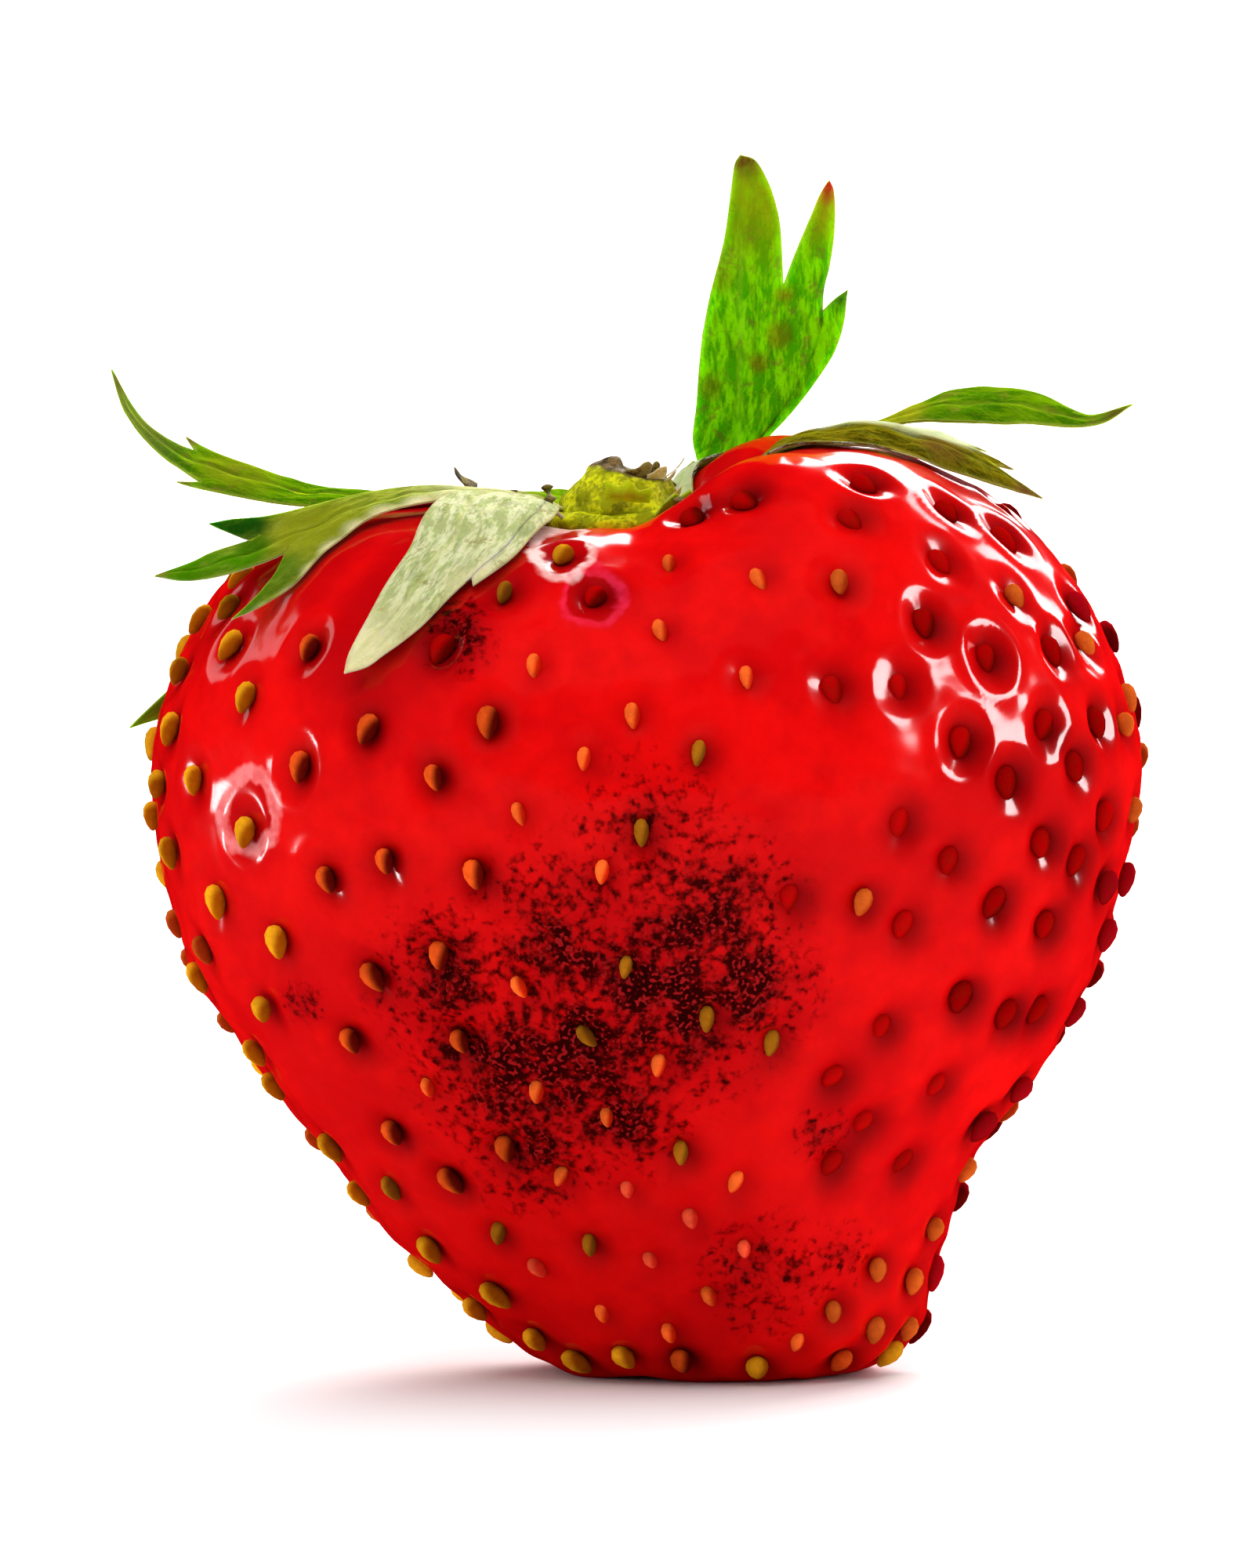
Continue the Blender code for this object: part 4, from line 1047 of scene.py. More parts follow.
def lattice(count):
    """Turn and level of evenly spread places over the whole skin, in the spiral of a seed head: each is
    a golden angle further round, and the levels share out the skin's area evenly."""
    from_end, rows, columns = 0.05, 400, 181
    levels = np.linspace(from_end, LAST_LEVEL - from_end, rows)
    turns = np.linspace(0, 2 * math.pi, columns)
    grid = fruit_surface(turns[None, :], levels[:, None] + 0 * turns[None, :])
    across = np.linalg.norm(np.diff(grid, axis=1), axis=2).sum(axis=1)
    up = np.linalg.norm(np.diff(grid, axis=0), axis=2).mean(axis=1)
    area = np.concatenate([[0], np.cumsum((across[:-1] + across[1:]) / 2 * up)])
    place = (np.arange(count) + 0.5) / count
    golden = math.pi * (3 - math.sqrt(5))
    return (np.arange(count) * golden) % (2 * math.pi), np.interp(place * area[-1], area, levels)


def seed_places(blades, look):
    """Every seed's place, directions, sizes, colours and rim, as a dict of arrays.

    The front's seeds stand at their own places. A lattice fills the sides, the back and the top, with
    a little jitter, apart from the flat of the tip, the foot of the stalk and under the leaves. Its
    kinds are redder on the right.
    """
    random = np.random.default_rng(RANDOM_SEED)
    names = list(SEED_KINDS)
    spots = [spot for name in names for spot in FRONT_SEEDS.get(name, [])]
    kinds = np.array([names.index(name) for name in names for _ in FRONT_SEEDS.get(name, [])])
    ringed = np.array([RINGED_SEEDS.get(spot, 0) for spot in spots])
    turns, levels = on_front(spots)
    placed, _, _ = skin_frame(turns, levels)

    more_turns, more_levels = lattice(look.count)
    more_turns = more_turns + random.normal(0, TURN_JITTER, look.count)
    more_levels = more_levels + random.normal(0, LEVEL_JITTER, look.count)
    points, outwards, _ = skin_frame(more_turns, more_levels)
    near = np.linalg.norm(points[:, None] - placed[None], axis=2).min(axis=1)
    covered = np.linalg.norm(points[:, None] - blades[None], axis=2).min(axis=1)
    facing = -outwards[:, 1]
    keep = (near > SEED_GAP) & (covered > LEAF_GAP) & (points[:, 2] > FLOOR_GAP) & (more_levels < TOP_LEVEL)
    keep &= (facing < FRONT_FACING) | (near > FRONT_GAP)
    points, more_turns, more_levels = points[keep], more_turns[keep], more_levels[keep]
    redder = smoothstep(-2, 10, points[:, 0] + random.normal(0, 3.0, len(points)))
    drawn = random.random(len(points))
    golden, tan, garnet = (names.index(name) for name in ("golden", "tan", "garnet"))
    on_right, on_left = np.where(drawn < 0.7, garnet, tan), np.where(drawn < 0.75, golden, tan)
    more_kinds = np.where(redder > 0.5, on_right, on_left)

    turns, levels = np.concatenate([turns, more_turns]), np.concatenate([levels, more_levels])
    kinds = np.concatenate([kinds, more_kinds])
    ringed = np.concatenate([ringed, np.zeros(len(more_kinds))])
    points, _, _ = skin_frame(turns, levels)
    clear = np.linalg.norm(points[:, None] - blades[None], axis=2).min(axis=1) > UNDER_LEAF
    turns, levels, kinds, ringed = turns[clear], levels[clear], kinds[clear], ringed[clear]
    points, outwards, down = skin_frame(turns, levels)
    lean = random.normal(0, LEAN, len(points))[:, None]
    side = np.cross(outwards, down)
    long_way = unit(down * np.cos(lean) + side * np.sin(lean))
    side = np.cross(outwards, long_way)
    sizes = np.array([SEED_KINDS[name][2:] for name in names])[kinds]
    sizes[:, :2] *= random.uniform(0.88, 1.12, (len(points), 1)) * look.length / LARGE_SEED / MM
    colours = np.array([[*SEED_KINDS[name][0], *SEED_KINDS[name][1]] for name in names])[kinds]
    colours = colours * random.uniform(0.75, 1.25, (len(points), 1))
    return {
        "points": points, "outwards": outwards, "down": long_way, "side": side, "sizes": sizes,
        "colours": colours, "ringed": ringed,
    }


def seed_surfaces(seeds):
    """All the seeds as one array of (seed, point) places, and each point's share of the way to the
    shaded side.

    A seed is a flattened drop. Along it, its radius is the sine of the way from end to end, fuller
    towards the stalk and drawn out to a point towards the tip.
    """
    turn, t = np.meshgrid(
        np.linspace(0, 2 * math.pi, SEED_COLUMNS, endpoint=False), np.linspace(0, math.pi, SEED_ROWS + 1),
        indexing="ij",
    )
    girth = np.sin(t) * (1 + 0.28 * np.cos(t)) * (1 - 0.10 * np.cos(t) ** 2)
    long_way = -np.cos(t).ravel()[None, :, None]
    wide = (girth * np.cos(turn)).ravel()[None, :, None]
    thick = (girth * np.sin(turn)).ravel()[None, :, None]
    length, width = seeds["sizes"][:, 0, None, None], seeds["sizes"][:, 1, None, None]
    off = seeds["sizes"][:, 2, None, None]
    place = seeds["points"][:, None] + seeds["outwards"][:, None] * off
    place = place + seeds["down"][:, None] * long_way * length / 2
    place = place + seeds["side"][:, None] * wide * width / 2
    place = place + seeds["outwards"][:, None] * thick * SEED_THICKNESS / 2
    # Painted shade: the shaded side always lies towards the right and the tip end.
    towards_right = np.sign(seeds["side"][:, 0])[:, None, None] * wide
    shaded = towards_right[..., 0] * 0.8 + 0.35 * long_way[..., 0]
    return place, shaded


def seed_faces():
    """Faces of one seed: squares between its rings, and triangles round its two ends."""
    rows = SEED_ROWS + 1
    c = np.arange(SEED_COLUMNS)
    after = (c + 1) % SEED_COLUMNS
    faces = []
    for row in range(1, SEED_ROWS - 1):
        lower, upper = c * rows + row, after * rows + row
        faces += np.stack([lower, lower + 1, upper + 1, upper], 1).tolist()
    faces += np.stack([0 * c, c * rows + 1, after * rows + 1], 1).tolist()
    last = SEED_ROWS - 1
    faces += np.stack([0 * c + SEED_ROWS, after * rows + last, c * rows + last], 1).tolist()
    return faces


def dimples(points, seeds, reach):
    """How deep each point of the skin sinks into the pits, how high it stands on their rims, and how
    dark it is there.

    A pit is a bell as deep as its seed's kind says. Its rim is a low ring round it, higher on the ringed
    seeds. The dark lies a little to the lower right of the seed, where the pit is in its own shade.
    """
    sunk, raised, dark = np.zeros((3, len(points)))
    ways = [seeds[name] for name in ("side", "down", "outwards")]
    at = [(way, (seeds["points"] * way).sum(axis=1)) for way in ways]
    depth, shaded, ringed = seeds["sizes"][:, 3], seeds["sizes"][:, 4], seeds["ringed"]
    shade_middle = SHADE_RIGHT * np.sign(seeds["side"][:, 0])
    rim_height = RIM_HEIGHT * depth + RINGED_HEIGHT * ringed
    for start in range(0, len(points), AT_ONCE):
        some = points[start:start + AT_ONCE]
        across, along, out = [some @ way.T - middle for way, middle in at]
        through_skin = (out / PIT_THROUGH) ** 2
        flat = (across / (PIT_ACROSS * reach)) ** 2 + (along / (PIT_ALONG * reach)) ** 2 + through_skin
        sunk[start:start + AT_ONCE] = (np.exp(-flat) * depth).sum(axis=1)
        ring = np.exp(-(((np.sqrt(flat) - RIM_PLACE) / RIM_WIDTH) ** 2))
        raised[start:start + AT_ONCE] = (ring * rim_height).sum(axis=1)
        shade = ((across - shade_middle) / shaded) ** 2 + through_skin
        shade = shade + ((along - SHADE_DOWN) / shaded / SHADE_STRETCH) ** 2
        dark[start:start + AT_ONCE] = (np.exp(-shade) * smoothstep(0.1, 0.42, depth)).sum(axis=1)
    return sunk, raised, np.clip(dark, 0, 1)


def spots_mask(points, spots):
    """A soft mask of round spots given as (sideways, height, reach, strength), on the front only."""
    mask = np.zeros(len(points))
    for x, z, reach, strength in spots:
        away = ((points[:, 0] - x) ** 2 + (points[:, 2] - z) ** 2) / reach**2
        mask = np.maximum(mask, strength * np.exp(-away))
    return mask * (points[:, 1] < 0)


# ---- settings ----------------------------------------------------------------------------------
class FleshLook(bpy.types.PropertyGroup):
    """Colours and shape of the flesh."""

    bright: bpy.props.FloatVectorProperty(
        name="Bright red", description="Colour of most of the flesh", subtype="COLOR", size=3,
        min=0, max=1, default=(0.80, 0.002, 0.002),
    )
    deep: bpy.props.FloatVectorProperty(
        name="Deep red", description="Colour of its darker, riper patches", subtype="COLOR", size=3,
        min=0, max=1, default=(0.66, 0.001, 0.002),
    )
    # Painted shade: the colour laid where a pit is in its own shade.
    pit: bpy.props.FloatVectorProperty(
        name="Pits", description="Colour down in the seeds' pits", subtype="COLOR", size=3,
        min=0, max=1, default=(0.07, 0.0, 0.001),
    )
    coat: bpy.props.FloatProperty(
        name="Shine", description="Strength of the skin's shine", min=0, max=1, default=0.6,
        subtype="FACTOR",
    )
    # How much darker the red is towards the tip, on the left half only.
    tip_darkening: bpy.props.FloatProperty(
        name="Ripe tip", description="How much deeper the red is towards the tip", min=0, max=1,
        default=0.25, subtype="FACTOR",
    )
    pit_reach: bpy.props.FloatProperty(
        name="Pit reach", description="How far a pit reaches round its seed", min=0.0004, max=0.002,
        default=0.001, subtype="DISTANCE", unit="LENGTH",
    )


class SeedLook(bpy.types.PropertyGroup):
    """Number and size of the seeds."""

    count: bpy.props.IntProperty(
        name="Lattice", description="Places in the lattice that fills the sides and back", min=50,
        max=900, default=400,
    )
    length: bpy.props.FloatProperty(
        name="Length", description="Length of a large seed", min=0.0005, max=0.003, default=0.0014,
        subtype="DISTANCE", unit="LENGTH",
    )


class LeafLook(bpy.types.PropertyGroup):
    """Thickness and glow of the leafy cap."""

    thickness: bpy.props.FloatProperty(
        name="Thickness", description="Thickness of a blade along its midrib", min=0.0001, max=0.0005,
        default=0.0003, subtype="DISTANCE", unit="LENGTH",
    )
    gap: bpy.props.FloatProperty(
        name="Gap", description="Clear space between a blade and the flesh", min=0.0, max=0.001,
        default=0.0001, subtype="DISTANCE", unit="LENGTH",
    )
    glow: bpy.props.FloatProperty(
        name="Glow", description="Share of the light that passes through a blade", min=0, max=1,
        default=0.6, subtype="FACTOR",
    )


class StageLook(bpy.types.PropertyGroup):
    """Floor, light and camera."""

    floor: bpy.props.FloatVectorProperty(
        name="Floor", description="Colour of the floor", subtype="COLOR", size=3, min=0, max=1,
        default=(0.96, 0.96, 0.96),
    )
    elevation: bpy.props.FloatProperty(
        name="Elevation", description="Camera's angle above the horizon", min=-1.5, max=1.5,
        default=VIEW_TILT, subtype="ANGLE", unit="ROTATION",
    )
    distance: bpy.props.FloatProperty(
        name="Distance", description="From the camera to the fruit", min=0.2, max=5.0, default=1.02,
        subtype="DISTANCE", unit="LENGTH",
    )
    field: bpy.props.FloatProperty(
        name="Field", description="Height of the picture at the fruit", min=0.02, max=0.5,
        default=0.060, subtype="DISTANCE", unit="LENGTH",
    )


class StrawberryLook(bpy.types.PropertyGroup):
    """All the settings."""

    flesh: bpy.props.PointerProperty(type=FleshLook)
    seeds: bpy.props.PointerProperty(type=SeedLook)
    leaves: bpy.props.PointerProperty(type=LeafLook)
    stage: bpy.props.PointerProperty(type=StageLook)


# ---- operators ---------------------------------------------------------------------------------
def blade_points(columns, rows):
    """Points of all the blades' middle surfaces, to measure from."""
    return np.concatenate([blade_surface(leaf, columns, rows)[0] for leaf in LEAVES.values()])


def leaf_distance(points):
    """How far each point is from the nearest of the blades' points: the square of a distance is both
    places' squares less twice their product."""
    blades = blade_points(15, 13)
    away = np.zeros(len(points))
    for start in range(0, len(points), AT_ONCE):
        some = points[start:start + AT_ONCE]
        square = (some**2).sum(axis=1)[:, None] + (blades**2).sum(axis=1) - 2 * some @ blades.T
        away[start:start + AT_ONCE] = np.sqrt(np.maximum(square.min(axis=1), 0))
    return away


class OBJECT_OT_strawberry_flesh(bpy.types.Operator):
    """Makes the red flesh with its pits"""

    bl_idname = "object.strawberry_flesh"
    bl_label = "Flesh"

    def execute(self, context):
        look = context.scene.strawberry
        seeds = seed_places(blade_points(25, 25), look.seeds)
        directions, faces = ball_cells(SKIN_CELLS)
        turns = np.arctan2(directions[:, 1], directions[:, 0])
        levels = (1 - np.arccos(np.clip(directions[:, 2], -1, 1)) / math.pi) * LAST_LEVEL
        smooth = fruit_surface(turns, levels)
        outwards = vertex_normals(smooth, faces)
        sunk, raised, dark = dimples(smooth, seeds, look.flesh.pit_reach / MM)
        uneven = sum(height * waves(smooth, length, seed) for height, length, seed in UNEVEN)
        points = smooth + outwards * (raised - sunk + uneven)[:, None]
        points[:, 2] = np.maximum(points[:, 2], 0)
        values = {
            # Painted shade in the pits, from the dimples' dark.
            "pit": 0.85 * dark,
            # Painted shade patch on the front.
            "shade_patch": spots_mask(smooth, SHADE_PATCH_SPOTS),
            "neck": smoothstep(*NECK_LEVELS, levels),
            # Painted shade by the leaves, from each point's distance to the blades.
            "leaf_shade": 1 - smoothstep(*LEAF_SHADE_REACH, leaf_distance(smooth)),
        }
        skin = flesh_material(look.flesh)
        make_piece("fruit_flesh", points, faces, skin, ["fruit_body"], values)
        return {"FINISHED"}


class OBJECT_OT_strawberry_seeds(bpy.types.Operator):
    """Makes the seeds in their pits"""

    bl_idname = "object.strawberry_seeds"
    bl_label = "Seeds"

    def execute(self, context):
        look = context.scene.strawberry
        seeds = seed_places(blade_points(25, 25), look.seeds)
        places, shaded = seed_surfaces(seeds)
        count, each = places.shape[:2]
        one = seed_faces()
        faces = [[corner + seed * each for corner in face] for seed in range(count) for face in one]
        spread_out = np.repeat(seeds["colours"], each, axis=0)
        opaque = np.ones((count * each, 1))
        values = {
            "lit_colour": np.hstack([spread_out[:, :3], opaque]),
            "shaded_colour": np.hstack([spread_out[:, 3:], opaque]),
            "shaded_side": np.broadcast_to(shaded, (count, each)).ravel(),
        }
        points = places.reshape(-1, 3)
        points[:, 2] = np.maximum(points[:, 2], 0.02)
        points, faces, values = without_loose(points, faces, values)
        make_piece("seeds", points, faces, seed_material(), (), values)
        return {"FINISHED"}


def without_loose(points, faces, values):
    """Leaves out the points that no face uses."""
    used = np.zeros(len(points), bool)
    used[[corner for face in faces for corner in face]] = True
    number = np.cumsum(used) - 1
    faces = [[int(number[corner]) for corner in face] for face in faces]
    return points[used], faces, {label: value[used] for label, value in values.items()}


def pushed_clear(points, faces, gap):
    """Points moved out to at least a gap off the flesh, by a shrinkwrap on a passing mesh."""
    mesh = bpy.data.meshes.new("passing")
    mesh.from_pydata((points * MM).tolist(), [], faces.tolist())
    passing = bpy.data.objects.new("passing", mesh)
    bpy.context.scene.collection.objects.link(passing)
    wrap = passing.modifiers.new("clear_of_flesh", "SHRINKWRAP")
    wrap.target = bpy.data.objects["fruit_flesh"]
    wrap.wrap_method = "NEAREST_SURFACEPOINT"
    wrap.wrap_mode = "OUTSIDE"
    wrap.offset = gap
    bpy.context.view_layer.update()
    moved = passing.evaluated_get(bpy.context.evaluated_depsgraph_get()).data
    flat = np.zeros(len(points) * 3, np.float32)
    moved.vertices.foreach_get("co", flat)
    bpy.data.objects.remove(passing)
    bpy.data.meshes.remove(mesh)
    return flat.reshape(-1, 3).astype(float) / MM


def tint_of(flat, patches):
    """Colour and strength of the patches at each (along, across): each patch is a soft round spot, and
    later ones lie over earlier ones."""
    colour, strength = np.zeros((len(flat), 3)), np.zeros(len(flat))
    for along, across, reach, share, patch in patches:
        away = np.hypot(flat[:, 0] - along, flat[:, 1] - across) / reach
        here = share * (1 - smoothstep(0.35, 1.0, away))
        total = here + strength * (1 - here)
        part = np.where(total > 0, here / np.maximum(total, 1e-9), 0)[:, None]
        colour = colour * (1 - part) + np.array(patch) * part
        strength = total
    return np.hstack([colour, strength[:, None]])


class OBJECT_OT_strawberry_leaves(bpy.types.Operator):
    """Makes the sepals and bractlets of the leafy cap"""

    bl_idname = "object.strawberry_leaves"
    bl_label = "Leafy cap"

    def execute(self, context):
        look = context.scene.strawberry.leaves
        for name, leaf in LEAVES.items():
            self.blade(name, leaf, look)
        return {"FINISHED"}

    def blade(self, name, leaf, look):
        """A blade of two skins round its middle surface, joined along the outline. It is thinner at the
        rim. The midrib is a groove above and a ridge below."""
        columns, rows = (len(leaf["rim"]) - 1) * BLADE_COLUMNS + 1, BLADE_ROWS + 1
        middle, flat = blade_surface(leaf, columns, rows)
        faces = grid_faces(columns, rows)
        loop = np.concatenate([
            np.arange(rows - 1), (rows - 1) + rows * np.arange(columns - 1),
            columns * rows - 1 - np.arange(rows - 1), (columns - 1 - np.arange(columns - 1)) * rows,
        ])
        to_rim = np.linalg.norm(flat[:, None] - flat[loop][None], axis=2).min(axis=1)
        middle = pushed_clear(middle, faces, look.gap + look.thickness / 2)
        up = vertex_normals(middle, faces)
        if (up * np.array(leaf["faces"][1], float)).sum(axis=1).mean() < 0:
            up = -up
        inner = smoothstep(0, RIM_TAPER, to_rim)[:, None]
        along, across = flat[:, :1], flat[:, 1:]
        half = look.thickness / MM / 2 * (RIM_SHARE + (1 - RIM_SHARE) * inner)
        rib = RIB_HEIGHT * np.exp(-((across / RIB_WIDTH) ** 2)) * inner * smoothstep(0.3, 1.5, along)
        puff = PUFF_HEIGHT * waves(np.hstack([flat, 0 * half]), PUFF_SIZE, 5)[:, None] * inner
        upper = middle + up * (half - rib + puff)
        lower = middle - up * (half + rib - puff)
        count = len(middle)
        after = np.roll(loop, -1)
        wall = np.stack([loop, after, after + count, loop + count], axis=1)
        whole = np.concatenate([faces[:, ::-1], faces + count, wall])
        values = {
            "rim_distance": np.tile(to_rim, 2),
            "underside": np.repeat([0.0, 1.0], count),
            "tint": np.tile(tint_of(flat, BLADE_COLOURS[name][3]), (2, 1)),
        }
        points = np.concatenate([upper, lower])
        if signed_volume(points, whole) < 0:
            whole = whole[:, ::-1]
        material = leaf_material(f"{name}_leaf", look, BLADE_COLOURS[name])
        uv = np.tile(flat, (2, 1)) / BLADE_UNIT
        make_piece(f"{name}_blade", points, whole, material, [name], values, uv)


def signed_volume(points, faces):
    """Volume inside a closed mesh of squares, below zero if its faces look inwards."""
    a, b, c, d = [points[faces[:, corner]] for corner in range(4)]
    return (a * (np.cross(b, c) + np.cross(c, d))).sum() / 6


class OBJECT_OT_strawberry_stalk(bpy.types.Operator):
    """Makes the torn stub of the stalk, its fibres, the collar and the stamens"""

    bl_idname = "object.strawberry_stalk"
    bl_label = "Stalk and stamens"

    def execute(self, context):
        skin, fibre = stalk_material(), fibre_material()
        self.stub(skin)
        self.collar(skin)
        self.fibres(fibre)
        self.stamens(fibre)
        return {"FINISHED"}

    def stub(self, skin):
        """A tube along the stub's line, made lumpy by waves."""
        columns, rows = 48, 56
        line = through(STUB, np.linspace(0, len(STUB) - 1, rows))
        points = tube(line[:, :3], np.maximum(line[:, 3], 0.05), columns)
        middle = np.tile(line[:, :3], (columns, 1))
        lumps = 1 + 0.07 * waves(points, 1.9, 6) + 0.03 * waves(points, 0.7, 7)
        points = middle + (points - middle) * lumps[:, None]
        right = smoothstep(-5.2, -2.6, points[:, 0])
        dry = smoothstep(34.5, 35.2, points[:, 2] + 0.5 * right)
        faces = ended(columns, rows)
        make_piece("stalk_stub", points, faces, skin, ["stem_stub"], {"dry": dry})

    def collar(self, skin):
        """A lumpy ring on the fruit round the stub, where the leaves' feet join it: an oval carried round
        a circle, swollen in five and in eleven places."""
        columns, rows = 96, 24
        turn, t = np.meshgrid(
            np.linspace(0, 2 * math.pi, columns, endpoint=False),
            np.linspace(0, 2 * math.pi, rows, endpoint=False), indexing="ij",
        )
        swell = 1 + 0.18 * np.sin(5 * turn + 0.4) + 0.10 * np.sin(11 * turn + 2.0)
        out = COLLAR_RADIUS + COLLAR_HALF_WIDTH * swell * np.cos(t)
        up = COLLAR_HEIGHT + COLLAR_HALF_HEIGHT * swell * np.sin(t)
        points = np.stack([STALK_X + out * np.cos(turn), out * np.sin(turn), up], axis=-1).reshape(-1, 3)
        points = points + (0.07 * waves(points, 0.9, 9))[:, None] * np.array([0.3, 0.3, 1.0])
        here, after = np.arange(columns) * rows, (np.arange(columns) + 1) % columns * rows
        seam = np.stack([here + rows - 1, after + rows - 1, after, here], axis=1)
        faces = np.concatenate([grid_faces(columns, rows, closed=True), seam])
        if signed_volume(points, faces) < 0:
            faces = faces[:, ::-1]
        make_piece("calyx_collar", points, faces, skin, (), {"dry": np.zeros(len(points))})

    def fibres(self, fibre):
        """Flat, ragged strips that stand round the torn top of the stub: an oval carried along a line
        that bows outwards, ever narrower."""
        parts, pale = [], []
        rows, columns = 12, 8
        for number, (root, tip, width, is_pale) in enumerate(FIBRES):
            t = np.linspace(0, 1, rows)[:, None]
            root, tip = np.array(root), np.array(tip)
            out = unit(np.array([root[0] - STALK_X, root[1], 0.0]) + 1e-6)
            line = root + (tip - root) * t + out * (0.18 * np.sin(math.pi * t))
            side = unit(np.cross(tip - root, out))
            turn = np.linspace(0, 2 * math.pi, columns, endpoint=False)[:, None, None]
            wide = width / 2 * (1 - 0.85 * t**1.6) + 0.05 * np.sin(9 * t + number)
            points = line[None] + side * np.cos(turn) * wide + out * np.sin(turn) * (0.07 - 0.04 * t)
            parts.append((points.reshape(-1, 3), ended(columns, rows)))
            pale.append(np.full(columns * rows, float(is_pale)))
        points, faces = joined(parts)
        make_piece("stalk_fibres", points, faces, fibre, (), {"pale": np.concatenate(pale)})

    def stamens(self, fibre):
        """Thin filaments that rise outwards round the stub, each a tube that swells to a dried anther."""
        parts, pale = [], []
        columns, rows = 8, 22
        random = np.random.default_rng(RANDOM_SEED)
        for degrees in STAMEN_TURNS:
            turn = math.radians(degrees)
            line = through(STAMEN_LINE, np.linspace(0, len(STAMEN_LINE) - 1, rows))
            out = line[:, 0] * (1 + random.uniform(-0.05, 0.12) * np.linspace(0, 1, rows))
            path = np.stack([STALK_X + out * math.cos(turn), out * math.sin(turn), line[:, 1]], axis=1)
            at = np.linspace(0, 1, rows)
            anther = ANTHER_RADIUS * np.exp(-(((at - ANTHER_PLACE) / 0.09) ** 2))
            radii = STAMEN_RADIUS + anther - 0.05 * smoothstep(0.95, 1.0, at)
            parts.append((tube(path, radii, columns), ended(columns, rows)))
            pale.append(np.tile(0.6 - 0.6 * smoothstep(0.6, 0.8, at), columns))
        points, faces = joined(parts)
        nodes = [f"stamen_{number:02d}" for number in range(1, 5)]
        make_piece("stamens", points, faces, fibre, nodes, {"pale": np.concatenate(pale)})


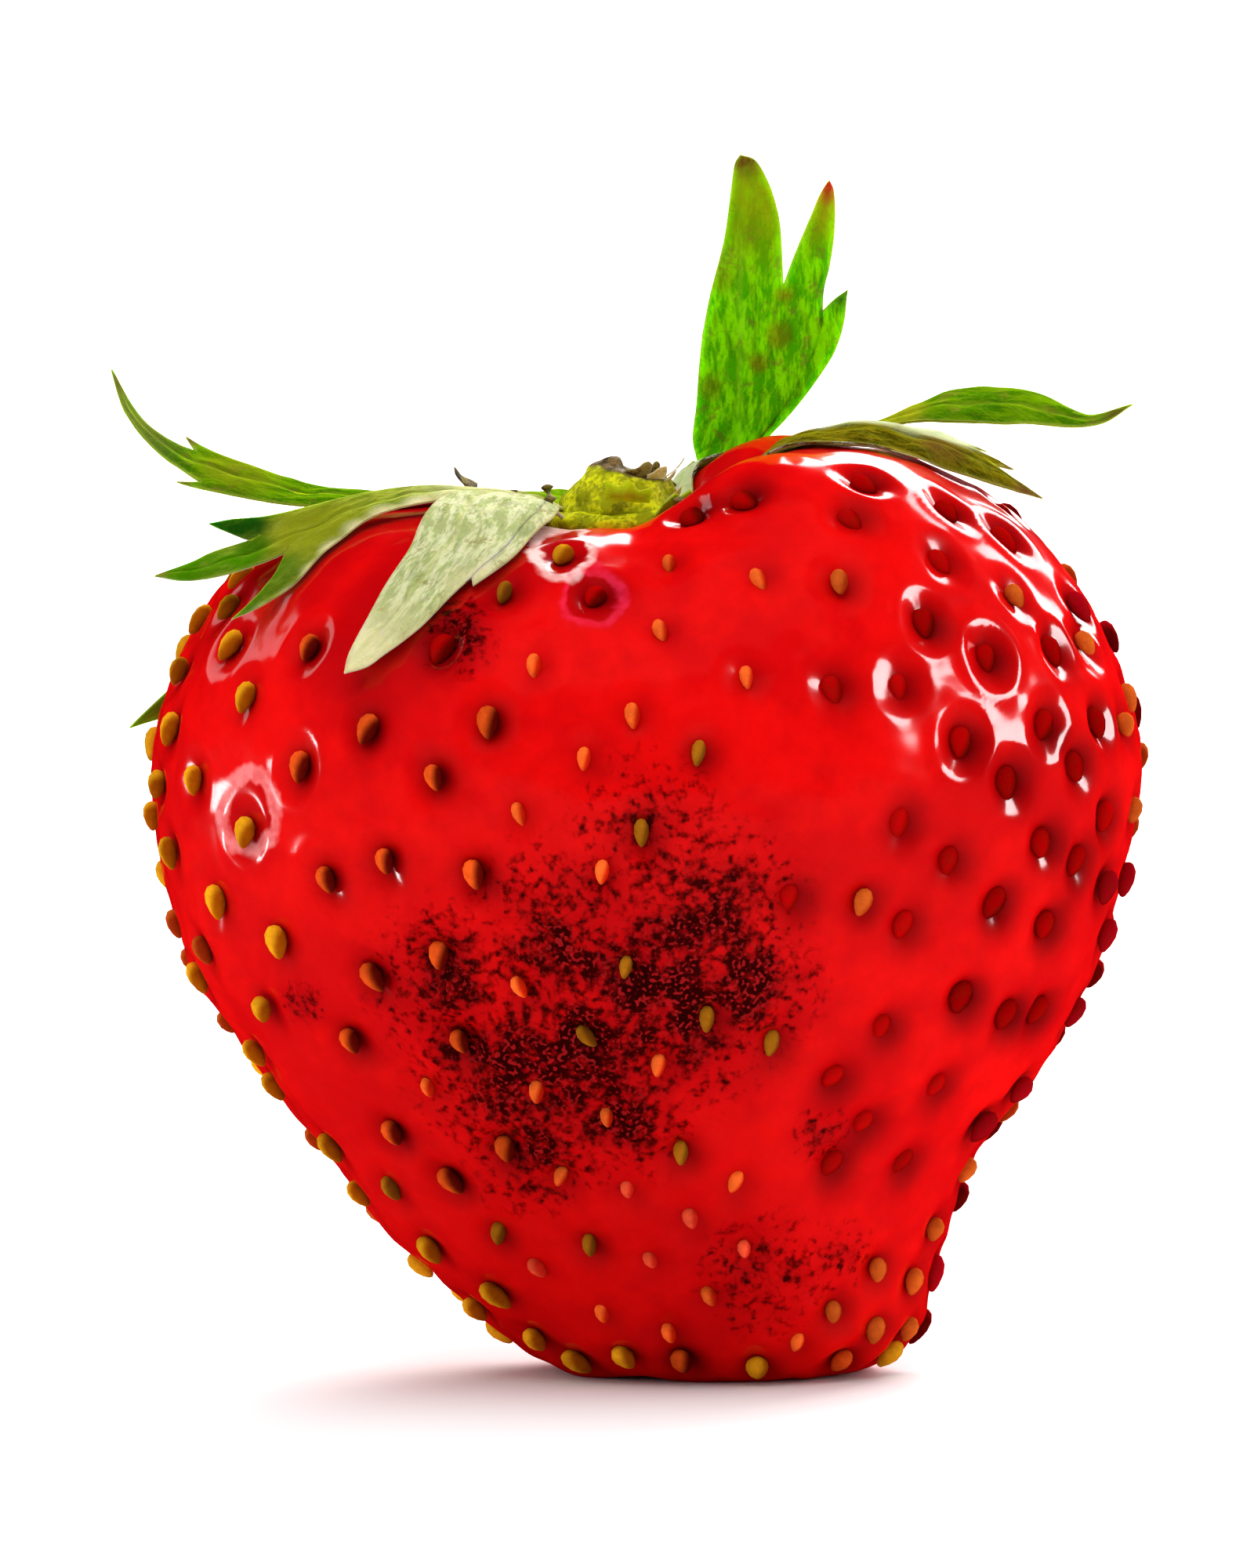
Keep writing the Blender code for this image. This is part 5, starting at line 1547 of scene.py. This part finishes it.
class OBJECT_OT_strawberry_stage(bpy.types.Operator):
    """Makes the pale floor, the soft lights and the camera"""

    bl_idname = "object.strawberry_stage"
    bl_label = "Stage"

    def execute(self, context):
        look = context.scene.strawberry.stage
        self.floor(look)
        self.lights()
        self.world()
        self.camera(look)
        context.scene.view_settings.view_transform = "Standard"
        return {"FINISHED"}

    def floor(self, look):
        """A flat disc of rings that lie closer towards the middle."""
        mesh = bpy.data.meshes.new("studio_floor")
        columns, rows = 64, 9
        turn, out = np.meshgrid(
            np.linspace(0, 2 * math.pi, columns, endpoint=False),
            np.linspace(0, 1, rows) ** 2 * FLOOR_RADIUS, indexing="ij",
        )
        points = np.stack([out * np.cos(turn), out * np.sin(turn), 0 * out], axis=-1).reshape(-1, 3)
        faces = grid_faces(columns, rows, closed=True).tolist()
        mesh.from_pydata(points.tolist(), [], [face[::-1] for face in faces])
        mesh.materials.append(floor_material(look))
        floor = bpy.data.objects.new("studio_floor", mesh)
        bpy.context.scene.collection.objects.link(floor)
        floor.visible_glossy = False

    def lights(self):
        """The softboxes and the suns. Only the softbox behind lights the flesh as well as shining in its
        coat, and the suns don't show in the coat."""
        for name, azimuth, elevation, distance, width, height, watts in SOFTBOXES:
            data = bpy.data.lights.new(name, "AREA")
            data.shape, data.size, data.size_y, data.energy = "RECTANGLE", width, height, watts
            light = self.place_light(data, azimuth, elevation, distance)
            light.visible_diffuse = name == "softbox_back"
        for name, azimuth, elevation, strength, spread_angle in SUNS:
            data = bpy.data.lights.new(name, "SUN")
            data.energy, data.angle = strength, math.radians(spread_angle)
            self.place_light(data, azimuth, elevation, 1.0).visible_glossy = False

    def place_light(self, data, azimuth, elevation, distance):
        """A light at an azimuth and elevation in degrees, a distance from the place that it lights."""
        azimuth, elevation = math.radians(azimuth), math.radians(elevation)
        way = Vector((
            math.sin(azimuth) * math.cos(elevation), -math.cos(azimuth) * math.cos(elevation),
            math.sin(elevation),
        ))
        light = bpy.data.objects.new(data.name, data)
        light.location = LIT_PLACE + way * distance
        light.rotation_mode = "QUATERNION"
        light.rotation_quaternion = way.to_track_quat("Z", "Y")
        light.visible_camera = False
        bpy.context.scene.collection.objects.link(light)
        return light

    def world(self):
        """White where the camera looks past the floor, and a dimmer grey for everything else. It doesn't
        show in the skin's shine."""
        world = bpy.context.scene.world or bpy.data.worlds.new("studio")
        bpy.context.scene.world = world
        world.use_nodes = True
        tree = world.node_tree
        seen = put(tree, "ShaderNodeLightPath").outputs["Is Camera Ray"]
        base = tree.nodes["Background"]
        base.inputs["Color"].default_value = (1, 1, 1, 1)
        connect(tree, plus(tree, ROOM_LIGHT, times(tree, seen, 1 - ROOM_LIGHT)), base.inputs["Strength"])
        world.cycles_visibility.glossy = False

    def camera(self, look):
        """A long lens that looks at the fruit from a little above, with its field as high as the
        settings say."""
        data = bpy.data.cameras.new("camera")
        camera = bpy.data.objects.new("camera", data)
        bpy.context.scene.collection.objects.link(camera)
        data.sensor_width = SENSOR_WIDTH
        data.lens = SENSOR_WIDTH * look.distance / look.field
        back = Vector((0, -math.cos(look.elevation), math.sin(look.elevation)))
        camera.location = SEEN_PLACE + back * look.distance
        camera.rotation_mode = "QUATERNION"
        camera.rotation_quaternion = back.to_track_quat("Z", "Y")
        bpy.context.scene.camera = camera


STEPS = [
    OBJECT_OT_strawberry_flesh,
    OBJECT_OT_strawberry_seeds,
    OBJECT_OT_strawberry_leaves,
    OBJECT_OT_strawberry_stalk,
    OBJECT_OT_strawberry_stage,
]


class VIEW3D_PT_strawberry(bpy.types.Panel):
    """Lists the strawberry's steps and settings in the sidebar"""

    bl_label = "Strawberry"
    bl_space_type = "VIEW_3D"
    bl_region_type = "UI"
    bl_category = "Strawberry"

    def draw(self, context):
        column = self.layout.column()
        for step in STEPS:
            column.operator(step.bl_idname)
        look = context.scene.strawberry
        for part in (look.flesh, look.seeds, look.leaves, look.stage):
            box = column.box()
            for label in part.bl_rna.properties.keys():
                if label not in ("rna_type", "name"):
                    box.prop(part, label)


CLASSES = [FleshLook, SeedLook, LeafLook, StageLook, StrawberryLook, *STEPS, VIEW3D_PT_strawberry]


def register():
    for kind in CLASSES:
        bpy.utils.register_class(kind)
    bpy.types.Scene.strawberry = bpy.props.PointerProperty(type=StrawberryLook)


def unregister():
    del bpy.types.Scene.strawberry
    for kind in reversed(CLASSES):
        bpy.utils.unregister_class(kind)


def main():
    register()
    bpy.ops.object.strawberry_flesh()
    bpy.ops.object.strawberry_seeds()
    bpy.ops.object.strawberry_leaves()
    bpy.ops.object.strawberry_stalk()
    bpy.ops.object.strawberry_stage()


if __name__ == "__main__":
    main()
